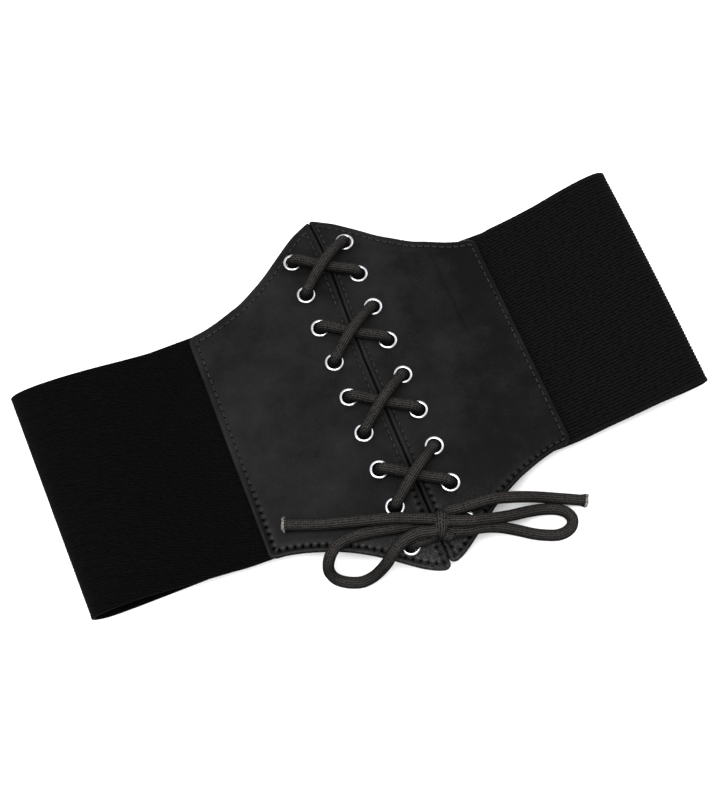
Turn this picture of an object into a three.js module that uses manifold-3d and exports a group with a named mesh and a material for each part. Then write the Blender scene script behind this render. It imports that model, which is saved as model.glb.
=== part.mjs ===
import * as THREE from 'three';
import { mergeVertices } from 'three/addons/utils/BufferGeometryUtils.js';
import Module from 'manifold-3d';

// Corset belt lying on its back: two laced leather panels on a closed loop of wide elastic.
// Millimetres. X runs along the belt, Y towards its upper edge, Z up from the surface it lies on.

const wasm = await Module();
wasm.setup();

// Driving dimensions
const gap = 0.3; // between pieces that touch
const beltLength = 265.6; // from fold to fold
const seamX = 5.95; // the lacing seam, from the middle of the belt
const elasticWidth = 100;
const elasticWall = 1.5;
const loopRise = 12; // how far the bowed ends of the elastic lift above its tucked ends
const leftFoldSlant = 4.7; // how far a fold's upper corner stands out past its lower corner
const rightFoldSlant = 0.8;
const tuckDepth = 11; // elastic sewn under a panel's outer edge
const waistClearance = 4.3; // between the back of the elastic and its tucked ends

const panelWidth = 63.7;
const panelHeight = 160.9; // tip to tip at the seam
const upperSideHeight = 48.1; // outer edge above the middle
const lowerSideHeight = 51.4; // outer edge below the middle
const leatherWall = 2;
const seamGap = 0.4;
const frontSkew = 1.3; // the left panel and its eyelets sit this much lower than the right ones
const archHeight = 1.5; // the seam stands this much higher than the outer edges
const tipDroop = 2;
const sideCorner = 3.5;
const tipCorner = 2.5;

const eyeletRows = 9;
const lacingInset = 15.09; // from a panel's tips to its end eyelets
const eyeletInset = 11.7; // from a panel's seam edge
const lacingDrop = 1; // the rows sit this much below a panel's middle
const eyeletHole = 5.1; // diameter
const eyeletBead = 0.65; // radius of the rolled rim
const barrelWall = 0.3;
const flangeWidth = 1.3;
const flangeWall = 0.4;

const laceThickness = 4.2;
const laceBend = 3.3; // radius of the lace's middle line round an eyelet's rim
const crossingReach = 0.2; // half the run over which crossing laces lie level, as a share of it
const crossingPull = 0.7; // how far a lace has come to the crossing's height at that reach
const knotWidth = 5.8;
const knotHeight = 12.6;
const knotDepth = 9;

// Heights that follow from them
const floorMid = elasticWall / 2;
const tuckMid = elasticWall + waistClearance + elasticWall / 2;
const sideTop = tuckMid + elasticWall / 2 + gap + leatherWall;
const seamTop = sideTop + archHeight;
const panelEdge = seamGap / 2 + panelWidth; // from the seam
const eyeletPitch = (panelHeight - 2 * lacingInset) / (eyeletRows - 1);
const laceRadius = laceThickness / 2;
const holeRadius = eyeletHole / 2;
const barrelRadius = holeRadius + barrelWall;

// Facets round the turned parts
const eyeletSides = 12;
const holeSides = 16;
const laceSides = 8;
const knotSides = 14;

// Materials
const leather = new THREE.MeshStandardMaterial({ color: 0x262626, roughness: 0.55, metalness: 0 });
const elastic = new THREE.MeshStandardMaterial({ color: 0x0f0f0f, roughness: 0.9, metalness: 0 });
const nickel = new THREE.MeshStandardMaterial({ color: 0xe6e6e8, roughness: 0.15, metalness: 1 });
const cord = new THREE.MeshStandardMaterial({ color: 0x3a3632, roughness: 0.95, metalness: 0 });

const belt = new THREE.Group();

function addMesh(name, geometry, material) {
  const mesh = new THREE.Mesh(geometry, material);
  mesh.name = name;
  belt.add(mesh);
  return mesh;
}

// A closed plate between a front sheet and a back sheet of points
function plate(spans, rows, front, back) {
  const positions = [];
  for (const sheet of [front, back]) {
    for (let i = 0; i <= spans; i++) {
      for (let j = 0; j <= rows; j++) {
        positions.push(...sheet(i, j).toArray());
      }
    }
  }
  const sheetSize = (spans + 1) * (rows + 1);
  const at = (side, i, j) => side * sheetSize + i * (rows + 1) + j;
  const index = [];
  const quad = (a, b, c, d) => index.push(a, b, c, a, c, d);
  for (let i = 0; i < spans; i++) {
    for (let j = 0; j < rows; j++) {
      quad(at(0, i, j), at(0, i + 1, j), at(0, i + 1, j + 1), at(0, i, j + 1));
      quad(at(1, i, j), at(1, i, j + 1), at(1, i + 1, j + 1), at(1, i + 1, j));
    }
    quad(at(0, i, 0), at(1, i, 0), at(1, i + 1, 0), at(0, i + 1, 0));
    quad(at(0, i + 1, rows), at(1, i + 1, rows), at(1, i, rows), at(0, i, rows));
  }
  for (let j = 0; j < rows; j++) {
    quad(at(0, 0, j + 1), at(1, 0, j + 1), at(1, 0, j), at(0, 0, j));
    quad(at(0, spans, j), at(1, spans, j), at(1, spans, j + 1), at(0, spans, j + 1));
  }
  const geometry = new THREE.BufferGeometry();
  geometry.setAttribute('position', new THREE.Float32BufferAttribute(positions, 3));
  geometry.setIndex(index);
  return geometry;
}

function toSolid(geometry) {
  const bare = geometry.clone();
  bare.deleteAttribute('normal');
  bare.deleteAttribute('uv');
  const merged = mergeVertices(bare, 1e-4);
  return new wasm.Manifold(new wasm.Mesh({
    numProp: 3,
    vertProperties: new Float32Array(merged.attributes.position.array),
    triVerts: new Uint32Array(merged.index.array),
  }));
}

function toGeometry(solid) {
  const mesh = solid.getMesh();
  const geometry = new THREE.BufferGeometry();
  geometry.setAttribute('position', new THREE.BufferAttribute(mesh.vertProperties, 3));
  geometry.setIndex(new THREE.BufferAttribute(mesh.triVerts, 1));
  return geometry;
}

// The value of one column of a table at a place along its first column
function readTable(table, along, column, place) {
  const next = Math.max(1, table.findIndex((entry) => entry[along] >= place));
  const [low, high] = [table[next - 1], table[next]];
  const share = (place - low[along]) / (high[along] - low[along]);
  return THREE.MathUtils.lerp(low[column], high[column], share);
}

// Panels. The upper and lower edges fall from the tips to the outer side in one double curve.
// across: share of the panel's width from the seam. rise: share from the side's height to the tip's.
const edgeCurve = [
  { across: 0, rise: 1 },
  { across: 0.08, rise: 0.933 },
  { across: 0.16, rise: 0.832 },
  { across: 0.24, rise: 0.708 },
  { across: 0.32, rise: 0.58 },
  { across: 0.4, rise: 0.458 },
  { across: 0.5, rise: 0.327 },
  { across: 0.6, rise: 0.22 },
  { across: 0.7, rise: 0.139 },
  { across: 0.8, rise: 0.07 },
  { across: 0.9, rise: 0.02 },
  { across: 1, rise: 0 },
];
const cornerShares = [0, 0.13, 0.5];
const panelRows = 14;

// How far a round corner cuts into an edge, at a distance from the side
function cornerCut(radius, distance) {
  const inside = Math.max(0, radius - distance);
  return radius - Math.sqrt(radius * radius - inside * inside);
}

function edgeHeight(across, sideHeight) {
  const rise = readTable(edgeCurve, 'across', 'rise', across / panelWidth);
  const height = THREE.MathUtils.lerp(sideHeight, panelHeight / 2, rise);
  return height - cornerCut(tipCorner, across) - cornerCut(sideCorner, panelWidth - across);
}

// Height of the leather's face: arched across the seam, drooping past the elastic's edges
function panelTop(x, y) {
  const across = Math.max(0, Math.abs(x - seamX) - seamGap / 2) / panelWidth;
  const past = Math.max(0, Math.abs(y) - elasticWidth / 2) / (panelHeight / 2 - elasticWidth / 2);
  return seamTop - archHeight * across * across - tipDroop * past * past;
}

function panelColumns() {
  const nearSeam = cornerShares.map((share) => share * tipCorner);
  const middle = edgeCurve.slice(1, -1).map((row) => row.across * panelWidth);
  const nearSide = cornerShares.map((share) => panelWidth - share * sideCorner).reverse();
  return [...nearSeam, ...middle, ...nearSide];
}

function panelGeometry(side) {
  const columns = panelColumns();
  if (side < 0) columns.reverse();
  const sheet = (depth) => (i, j) => {
    const across = columns[i];
    const x = seamX + side * (seamGap / 2 + across);
    const y = THREE.MathUtils.lerp(-edgeHeight(across, lowerSideHeight),
      edgeHeight(across, upperSideHeight), j / panelRows) + side * frontSkew / 2;
    return new THREE.Vector3(x, y, panelTop(x, y) - depth);
  };
  return plate(columns.length - 1, panelRows, sheet(0), sheet(leatherWall));
}

// Eyelets: place and tilt of each one on its panel
function eyeletSeat(side, row) {
  const x = seamX + side * (seamGap / 2 + eyeletInset);
  const middleRow = (eyeletRows + 1) / 2;
  const y = (middleRow - row) * eyeletPitch - lacingDrop + side * frontSkew / 2;
  const slopeX = panelTop(x + 1, y) - panelTop(x, y);
  const slopeY = panelTop(x, y + 1) - panelTop(x, y);
  return {
    position: new THREE.Vector3(x, y, panelTop(x, y)),
    rotation: new THREE.Euler(Math.atan(slopeY), -Math.atan(slopeX), 0),
  };
}

// Half section of an eyelet: rolled rim on the face, barrel through the leather, flange behind.
// Its axis is Y until it is turned to stand along Z, with the leather's face at 0.
function eyeletGeometry() {
  const rimMid = holeRadius + eyeletBead;
  const rimArc = [0.35 * Math.PI, 0.65 * Math.PI, Math.PI];
  const behind = -leatherWall - gap;
  const profile = [
    new THREE.Vector2(holeRadius, behind - flangeWall),
    new THREE.Vector2(barrelRadius + flangeWidth, behind - flangeWall),
    new THREE.Vector2(barrelRadius + flangeWidth, behind),
    new THREE.Vector2(barrelRadius, behind),
    new THREE.Vector2(barrelRadius, gap),
    new THREE.Vector2(rimMid + eyeletBead, gap),
    ...rimArc.map((turn) => new THREE.Vector2(
      rimMid + eyeletBead * Math.cos(turn), gap + eyeletBead * Math.sin(turn))),
    new THREE.Vector2(holeRadius, behind - flangeWall),
  ];
  return new THREE.LatheGeometry(profile, eyeletSides).rotateX(Math.PI / 2);
}

function holeCutter(side, row) {
  const seat = eyeletSeat(side, row);
  const radius = barrelRadius + gap;
  const reach = leatherWall * 4;
  const cutter = new THREE.CylinderGeometry(radius, radius, reach, holeSides);
  cutter.rotateX(Math.PI / 2);
  cutter.applyQuaternion(new THREE.Quaternion().setFromEuler(seat.rotation));
  return cutter.translate(seat.position.x, seat.position.y, seat.position.z);
}

function addPanel(name, side) {
  let solid = toSolid(panelGeometry(side));
  for (let row = 1; row <= eyeletRows; row++) {
    solid = solid.subtract(toSolid(holeCutter(side, row)));
  }
  addMesh(name, toGeometry(solid), leather);
}

function addEyelets() {
  for (const [sideName, side] of [['left', -1], ['right', 1]]) {
    for (let row = 1; row <= eyeletRows; row++) {
      const seat = eyeletSeat(side, row);
      const mesh = addMesh(`eyelet_${sideName}_${row}`, eyeletGeometry(), nickel);
      mesh.position.copy(seat.position);
      mesh.rotation.copy(seat.rotation);
    }
  }
}

// Elastic, from a panel's outer edge out to the fold and back underneath.
// out: share of the way from the panel's edge to the fold. layer: 1 at the tucked end's height,
// 0 flat on the surface. low, high: lift of the lower and upper edge, as shares of the loop's rise.
// slant: share of the fold's slant. middle, width: shares of the elastic's width.
const rightLoop = [
  { out: 0, layer: 1, low: 0, high: 0, slant: 0, middle: -0.012, width: 0.996 },
  { out: 0.12, layer: 1, low: 0.03, high: 0.04, slant: 0, middle: -0.007, width: 1 },
  { out: 0.25, layer: 1, low: 0.12, high: 0.17, slant: 0, middle: 0, width: 1.004 },
  { out: 0.45, layer: 1, low: 0.25, high: 0.48, slant: 0, middle: 0.005, width: 1.004 },
  { out: 0.65, layer: 1, low: 0.39, high: 0.79, slant: 0.1, middle: 0.012, width: 1.006 },
  { out: 0.82, layer: 1, low: 0.46, high: 0.95, slant: 0.3, middle: 0.024, width: 1.01 },
  { out: 0.93, layer: 0.9, low: 0.43, high: 0.91, slant: 0.7, middle: 0.033, width: 1.012 },
  { out: 0.985, layer: 0.7, low: 0.35, high: 0.76, slant: 0.9, middle: 0.039, width: 1.013 },
  { out: 1, layer: 0.5, low: 0.32, high: 0.68, slant: 1, middle: 0.041, width: 1.013 },
  { out: 0.985, layer: 0.35, low: 0.2, high: 0.5, slant: 0.9, middle: 0.042, width: 1.012 },
  { out: 0.93, layer: 0.17, low: 0.13, high: 0.34, slant: 0.7, middle: 0.042, width: 1.01 },
  { out: 0.8, layer: 0.06, low: 0.04, high: 0.13, slant: 0.3, middle: 0.04, width: 1.006 },
  { out: 0.6, layer: 0, low: 0, high: 0, slant: 0, middle: 0.037, width: 1.002 },
  { out: 0, layer: 0, low: 0, high: 0, slant: 0, middle: 0.029, width: 0.996 },
];
const leftLoop = [
  { out: 0, layer: 1, low: 0, high: 0, slant: 0, middle: -0.019, width: 0.995 },
  { out: 0.12, layer: 1, low: 0.03, high: 0.03, slant: 0, middle: -0.019, width: 0.992 },
  { out: 0.22, layer: 1, low: 0.1, high: 0.1, slant: 0, middle: -0.018, width: 0.985 },
  { out: 0.4, layer: 1, low: 0.3, high: 0.3, slant: 0.1, middle: -0.017, width: 0.98 },
  { out: 0.56, layer: 1, low: 0.5, high: 0.5, slant: 0.2, middle: -0.015, width: 0.975 },
  { out: 0.73, layer: 1, low: 0.61, high: 0.61, slant: 0.4, middle: -0.012, width: 0.972 },
  { out: 0.86, layer: 1, low: 0.54, high: 0.54, slant: 0.65, middle: -0.008, width: 0.975 },
  { out: 0.95, layer: 0.9, low: 0.4, high: 0.4, slant: 0.85, middle: -0.003, width: 0.978 },
  { out: 0.99, layer: 0.7, low: 0.27, high: 0.27, slant: 0.95, middle: 0.001, width: 0.98 },
  { out: 1, layer: 0.45, low: 0.17, high: 0.17, slant: 1, middle: 0.003, width: 0.98 },
  { out: 0.98, layer: 0.24, low: 0.09, high: 0.09, slant: 0.95, middle: 0.004, width: 0.982 },
  { out: 0.92, layer: 0.08, low: 0.03, high: 0.03, slant: 0.8, middle: 0.004, width: 0.984 },
  { out: 0.8, layer: 0, low: 0, high: 0, slant: 0.5, middle: 0.005, width: 0.986 },
  { out: 0.55, layer: 0, low: 0, high: 0, slant: 0.1, middle: 0.008, width: 0.99 },
  { out: 0, layer: 0, low: 0, high: 0, slant: 0, middle: 0.015, width: 0.995 },
];
const elasticColumns = 4;

// Points of the wall's middle line along the lower and the upper edge of the elastic
function elasticEdges(table, side, foldSlant) {
  const start = seamX + side * panelEdge;
  const fold = side * (beltLength / 2 - elasticWall / 2 - foldSlant / 2);
  const edgePoint = (row, edge, lift) => {
    const slant = side * edge * row.slant * foldSlant / 2;
    const x = THREE.MathUtils.lerp(start, fold, row.out) + slant;
    const y = elasticWidth * (row.middle + edge * row.width / 2);
    return new THREE.Vector3(x, y, THREE.MathUtils.lerp(floorMid, tuckMid, row.layer) + lift * loopRise);
  };
  const lower = table.map((row) => edgePoint(row, -1, row.low));
  const upper = table.map((row) => edgePoint(row, 1, row.high));
  const tuck = new THREE.Vector3(side * tuckDepth, 0, 0);
  lower.unshift(lower[0].clone().sub(tuck));
  upper.unshift(upper[0].clone().sub(tuck));
  return [lower, upper];
}

function elasticGeometry() {
  const [rightLower, rightUpper] = elasticEdges(rightLoop, 1, rightFoldSlant);
  const [leftLower, leftUpper] = elasticEdges(leftLoop, -1, leftFoldSlant);
  const lower = [...rightLower, ...leftLower.reverse()];
  const upper = [...rightUpper, ...leftUpper.reverse()];
  const middle = (i) => lower[i].clone().lerp(upper[i], 0.5);
  const last = lower.length - 1;
  // The wall's outward direction at each station, square to the loop and to its width
  const outward = lower.map((point, i) => {
    const along = middle(Math.min(last, i + 1)).sub(middle(Math.max(0, i - 1)));
    return along.cross(upper[i].clone().sub(point)).normalize();
  });
  const sheet = (side) => (i, j) => lower[i].clone().lerp(upper[i], j / elasticColumns)
    .addScaledVector(outward[i], side * elasticWall / 2);
  return plate(last, elasticColumns, sheet(1), sheet(-1));
}

// Lace. The steps of a tube fall on the route's own points, so that bends keep their own spacing.
class Route extends THREE.CatmullRomCurve3 {
  constructor(points) {
    super(points, false, 'centripetal');
  }

  getPointAt(share, target) {
    return this.getPoint(share, target);
  }

  getTangentAt(share, target) {
    return this.getTangent(share, target);
  }
}

function laceTube(points) {
  const outline = [];
  for (let i = 0; i < laceSides; i++) {
    const turn = (i / laceSides) * 2 * Math.PI;
    outline.push(new THREE.Vector2(laceRadius * Math.cos(turn), laceRadius * Math.sin(turn)));
  }
  return new THREE.ExtrudeGeometry(new THREE.Shape(outline), {
    steps: points.length - 1,
    bevelEnabled: false,
    extrudePath: new Route(points),
  });
}

const toPoints = (list) => list.map(([x, y, z]) => new THREE.Vector3(x, y, z));

// The bow's knot and the routes of its loops and tails, in the belt's own frame.
// Each loop starts and ends at the knot; each tail starts there and lies down over the edge.
const knotPlace = [7.3, -64.2, 15.8];
const leftTailRoute = [
  [3.9, -61.9, 17.9], [-1.1, -59.6, 17.6], [-6.6, -57, 17], [-13.7, -54.4, 16.1], [-20.9, -52, 14.8],
  [-28.2, -49.6, 13.7], [-35.5, -47.2, 13.1], [-42.6, -44.5, 12.8], [-48.7, -42, 12.6],
];
const rightTailRoute = [
  [10.9, -61, 15.6], [14.4, -61.4, 16], [18.4, -61.8, 16.1], [25, -61.8, 15], [31.4, -62.3, 13.5],
  [37.1, -63.6, 12.2], [43.8, -65, 9], [50, -66.4, 5.4], [55.6, -68.3, 3.2], [60.7, -70.6, 2.6],
  [66, -73.3, 2.7],
];
const leftLoopRoute = [
  [3.9, -62.6, 13.3], [-1.5, -60.9, 13.4], [-9.4, -59.1, 13.4], [-17.7, -57.3, 13.3], [-24.6, -56.4, 13.2],
  [-29.5, -56.5, 13.2], [-33.4, -57.9, 13.2], [-36.3, -60.7, 11], [-37.6, -63.6, 6.6], [-36.6, -67.3, 3.4],
  [-32.8, -70.6, 2.4], [-27.6, -72, 2.8], [-23.6, -71.8, 5.1], [-20.2, -70.9, 8.9], [-17, -69.7, 12.9],
  [-13.2, -67.9, 16.2], [-8.1, -65.9, 18], [-2.1, -65.4, 18.3], [3.9, -66.6, 17.7],
];
const rightLoopRoute = [
  [10.9, -65.4, 17.9], [14.8, -67, 18.4], [18.6, -68.1, 17.8], [22.6, -68.6, 15.9], [27.9, -69.3, 13.2],
  [34.9, -69.7, 9.4], [42.1, -69.7, 5.5], [48.5, -70.4, 3.1], [53.6, -72.1, 2.4], [57, -74.6, 2.3],
  [58.2, -77.6, 2.3], [57, -80.4, 2.3], [54, -81.9, 2.3], [50.2, -81.9, 2.3], [46.2, -80.5, 2.4],
  [41.6, -78.1, 3.2], [35.2, -75, 6], [28.4, -72.9, 9.7], [21.9, -71.7, 12.5], [16.4, -70, 13.2],
  [11.2, -68.8, 14.6],
];
const leftLegEnd = [1.9, -67.4, 13.1];
const rightLegEnd = [11.7, -64.8, 13.2];

// The eyelets in the order that the lace passes them, from the knot and back to it.
// It runs behind the leather from each even place in the list to the next, and over the face between.
const lacingOrder = [
  [-1, 9], [-1, 8], [1, 7], [1, 6], [-1, 5], [-1, 4], [1, 3], [1, 2], [-1, 1],
  [1, 1], [-1, 2], [-1, 3], [1, 4], [1, 5], [-1, 6], [-1, 7], [1, 8], [1, 9],
];
const bendTurns = [Math.PI / 2, Math.PI / 3, Math.PI / 6];

// A quarter turn of the lace round an eyelet's rim, from lying flat to standing in the hole.
// face: 1 over the leather, -1 behind it.
function rimBend(seat, towards, face) {
  const axis = new THREE.Vector3(0, 0, 1).applyEuler(seat.rotation);
  const level = face > 0 ? gap : -leatherWall - gap - flangeWall / 2;
  const flat = towards.clone().sub(seat.position);
  flat.addScaledVector(axis, -flat.dot(axis)).normalize();
  return bendTurns.map((turn) => seat.position.clone()
    .addScaledVector(flat, laceBend * (1 - Math.cos(turn)))
    .addScaledVector(axis, level + face * laceBend * Math.sin(turn)));
}

function laceRoute() {
  const seats = lacingOrder.map(([side, row]) => eyeletSeat(side, row));
  const knotEnds = [new THREE.Vector3(...leftLegEnd), new THREE.Vector3(...rightLegEnd)];
  const points = [knotEnds[0]];
  const last = seats.length - 1;
  seats.forEach((seat, i) => {
    const before = i === 0 ? knotEnds[0] : seats[i - 1].position;
    const after = i === last ? knotEnds[1] : seats[i + 1].position;
    const faceIn = i % 2 === 0 ? 1 : -1;
    const standIn = new THREE.Vector3(0, 0, faceIn > 0 ? 0 : -leatherWall).applyEuler(seat.rotation);
    points.push(...rimBend(seat, before, faceIn));
    points.push(seat.position.clone().add(standIn));
    points.push(...rimBend(seat, after, -faceIn).reverse());
    if (i % 2 === 1 && i < last) points.push(...frontRun(i, seat.position, after));
  });
  points.push(knotEnds[1]);
  return points;
}

// Between the panels one lace of each cross dips to the leather and the other passes over it
function frontRun(i, from, to) {
  const [side, row] = lacingOrder[i];
  const rightRow = side > 0 ? row : lacingOrder[i + 1][1];
  const under = seamTop + gap + laceRadius;
  const over = under + laceThickness + gap;
  const crossing = rightRow % 2 === 1 ? over : under;
  const atRim = gap + laceBend;
  return [-crossingReach, 0, crossingReach].map((offset) => {
    const point = from.clone().lerp(to, 0.5 + offset);
    const pull = offset === 0 ? 1 : crossingPull;
    point.z = THREE.MathUtils.lerp(point.z + atRim, crossing, pull);
    return point;
  });
}

// The knot: a band of lace wound round the bow, standing proud between two rounded shoulders.
// along: share of the knot's width from its middle. radius: share of its half height.
const knotProfile = [
  { along: 0.5, radius: 0 },
  { along: 0.5, radius: 0.4 },
  { along: 0.42, radius: 0.78 },
  { along: 0.24, radius: 0.97 },
  { along: 0, radius: 1 },
  { along: -0.24, radius: 0.97 },
  { along: -0.42, radius: 0.78 },
  { along: -0.5, radius: 0.4 },
  { along: -0.5, radius: 0 },
];

function knotGeometry() {
  const half = knotHeight / 2;
  const points = knotProfile.map((row) => new THREE.Vector2(row.radius * half, -row.along * knotWidth));
  const lathe = new THREE.LatheGeometry(points, knotSides);
  return lathe.rotateZ(-Math.PI / 2).scale(1, 1, knotDepth / knotHeight);
}

addMesh('elastic_band', elasticGeometry(), elastic);
addPanel('left_panel', -1);
addPanel('right_panel', 1);
addEyelets();
addMesh('threaded_lace', laceTube(laceRoute()), cord);
addMesh('bow_knot', knotGeometry(), cord).position.set(...knotPlace);
addMesh('bow_loop_left', laceTube(toPoints(leftLoopRoute)), cord);
addMesh('bow_loop_right', laceTube(toPoints(rightLoopRoute)), cord);
addMesh('bow_tail_left', laceTube(toPoints(leftTailRoute)), cord);
addMesh('bow_tail_right', laceTube(toPoints(rightTailRoute)), cord);

export default belt;
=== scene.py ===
import math

import bmesh
import bpy
import numpy as np
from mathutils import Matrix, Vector
from mathutils.kdtree import KDTree


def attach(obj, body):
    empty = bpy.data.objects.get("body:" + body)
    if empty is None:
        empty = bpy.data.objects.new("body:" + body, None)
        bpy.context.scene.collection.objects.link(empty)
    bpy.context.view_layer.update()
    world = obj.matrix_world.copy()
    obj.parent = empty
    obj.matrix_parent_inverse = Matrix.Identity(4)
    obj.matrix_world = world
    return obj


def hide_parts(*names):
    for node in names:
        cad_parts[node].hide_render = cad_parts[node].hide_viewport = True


# Corset belt lying on its back, laced front up. Lengths are in millimetres until a mesh is made.

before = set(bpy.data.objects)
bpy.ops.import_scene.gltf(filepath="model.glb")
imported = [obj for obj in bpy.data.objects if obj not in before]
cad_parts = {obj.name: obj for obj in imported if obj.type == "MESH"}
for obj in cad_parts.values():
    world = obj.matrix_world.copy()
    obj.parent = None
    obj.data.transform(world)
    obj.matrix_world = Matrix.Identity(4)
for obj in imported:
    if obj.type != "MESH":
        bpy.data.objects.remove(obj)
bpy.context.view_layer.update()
print("belt frame loaded")

mm = 0.001

# Seen from above the belt's lower left side
view = {
    "position": (-69.04, -174.80, 464.38),
    "lookAt": (-2.231, -4.263, 11.05),
    "lens": 55.09,
    "sensor": 36.0,
    "clip": (0.01, 20.0),  # metres
}


def makeCamera():
    data = bpy.data.cameras.new("beltCamera")
    data.lens = view["lens"]
    data.sensor_width = view["sensor"]
    data.clip_start, data.clip_end = view["clip"]
    camera = bpy.data.objects.new("beltCamera", data)
    bpy.context.scene.collection.objects.link(camera)
    position = Vector(view["position"]) * mm
    towards = Vector(view["lookAt"]) * mm - position
    camera.location = position
    camera.rotation_euler = towards.to_track_quat("-Z", "Y").to_euler()
    bpy.context.scene.camera = camera


makeCamera()
print("camera placed")


def linearColour(hexCode):
    channels = [int(hexCode[i : i + 2], 16) / 255 for i in (1, 3, 5)]
    linear = [c / 12.92 if c <= 0.04045 else ((c + 0.055) / 1.055) ** 2.4 for c in channels]
    return (*linear, 1.0)


def addNode(tree, kind, inputs=None, **settings):
    node = tree.nodes.new(kind)
    for name, value in settings.items():
        setattr(node, name, value)
    for socket, value in (inputs or {}).items():
        if isinstance(value, bpy.types.NodeSocket):
            tree.links.new(value, node.inputs[socket])
        else:
            node.inputs[socket].default_value = value
    return node


def newMaterial(name):
    material = bpy.data.materials.new(name)
    material.use_nodes = True
    tree = material.node_tree
    tree.nodes.clear()
    shader = addNode(tree, "ShaderNodeBsdfPrincipled")
    output = addNode(tree, "ShaderNodeOutputMaterial")
    tree.links.new(shader.outputs["BSDF"], output.inputs["Surface"])
    return material, tree, shader


def perSize(size):
    # texture scale whose pattern repeats about once in this many millimetres
    return 1.0 / (size * mm)


leatherLook = {
    "deep": "#050505",
    "haze": "#191919",
    # hole: the painted shade inside the needle holes
    "hole": "#020202",
    "cloudSize": 22.0,
    "cloudHaze": (0.04, 0.86),  # share of haze in the darkest and the palest cloud
    "grainSize": 0.9,  # pores of a fine coated leather are about 0.3 mm, drawn coarser to show
    "speckSize": 0.5,
    "speckHaze": 0.2,
    "paintedLight": (5.0, 62.0),  # over this stretch to the right the painted sheen of the light from the left fades
    "paintedLightHaze": (0.08, -0.52),
    "paintedLightTurn": -0.6,
    "lowerEdgeLight": (-58.0, -26.0),  # y at which the painted light and shade of the lower edges are full, and gone
    "lowerEdgeLightTurn": 0.25,
    "holeSize": 0.38,
    "holeCore": 0.65,  # share of a hole that is fully dark
    "holeGrowth": 0.15,  # the painted shade of the holes along the lower edges is wider by this
    "holeDepth": (0.4, 0.9),  # how dark the painted shade is in the holes along the seam, which are pressed nearly shut, and elsewhere
    "stitchPitch": 3.05,
    # How much painted light or shade the tone gains or loses beside the edges, the seam and the stitches
    "foldAt": 0.85,
    "foldGain": 0.9,
    "stripGain": (-0.06, -0.42),
    "swellGain": 0.65,
    "puckerAt": 0.4,
    "puckerGain": -1.3,
    "tips": (-50.0, -76.0),
    "tipGlint": 1.8,
    "seamGain": -0.8,
    "ridgeAt": 1.0,
    "ridgeGain": 0.4,
    "creaseGain": -0.22,
    "sheen": 0.06,  # of the plain leather; it follows the tone
    "roughMatt": 0.6,
    "roughRubbed": 0.46,
    "relief": (0.3, 0.12),  # share of the bump that shows, and its height in mm
    "puckerRelief": 3.0,
    "holeRelief": -3.0,
}


def lowerEdgeLightShare(tree, place):
    # 1 along the lower edges, 0 along the upper ones: where the painted highlights and painted shade of
    # the edges and stitches are strongest, and the thread is painted in shade
    parts = addNode(tree, "ShaderNodeSeparateXYZ", {"Vector": place}).outputs
    diagonal = addNode(tree, "ShaderNodeMath", {
        0: parts["X"], 1: leatherLook["lowerEdgeLightTurn"], 2: parts["Y"],
    }, operation="MULTIPLY_ADD").outputs[0]
    full, gone = leatherLook["lowerEdgeLight"]
    return addNode(tree, "ShaderNodeMapRange", {
        "Value": diagonal, "From Min": full * mm, "From Max": gone * mm, "To Min": 1.0, "To Max": 0.0,
    }).outputs["Result"]


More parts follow.
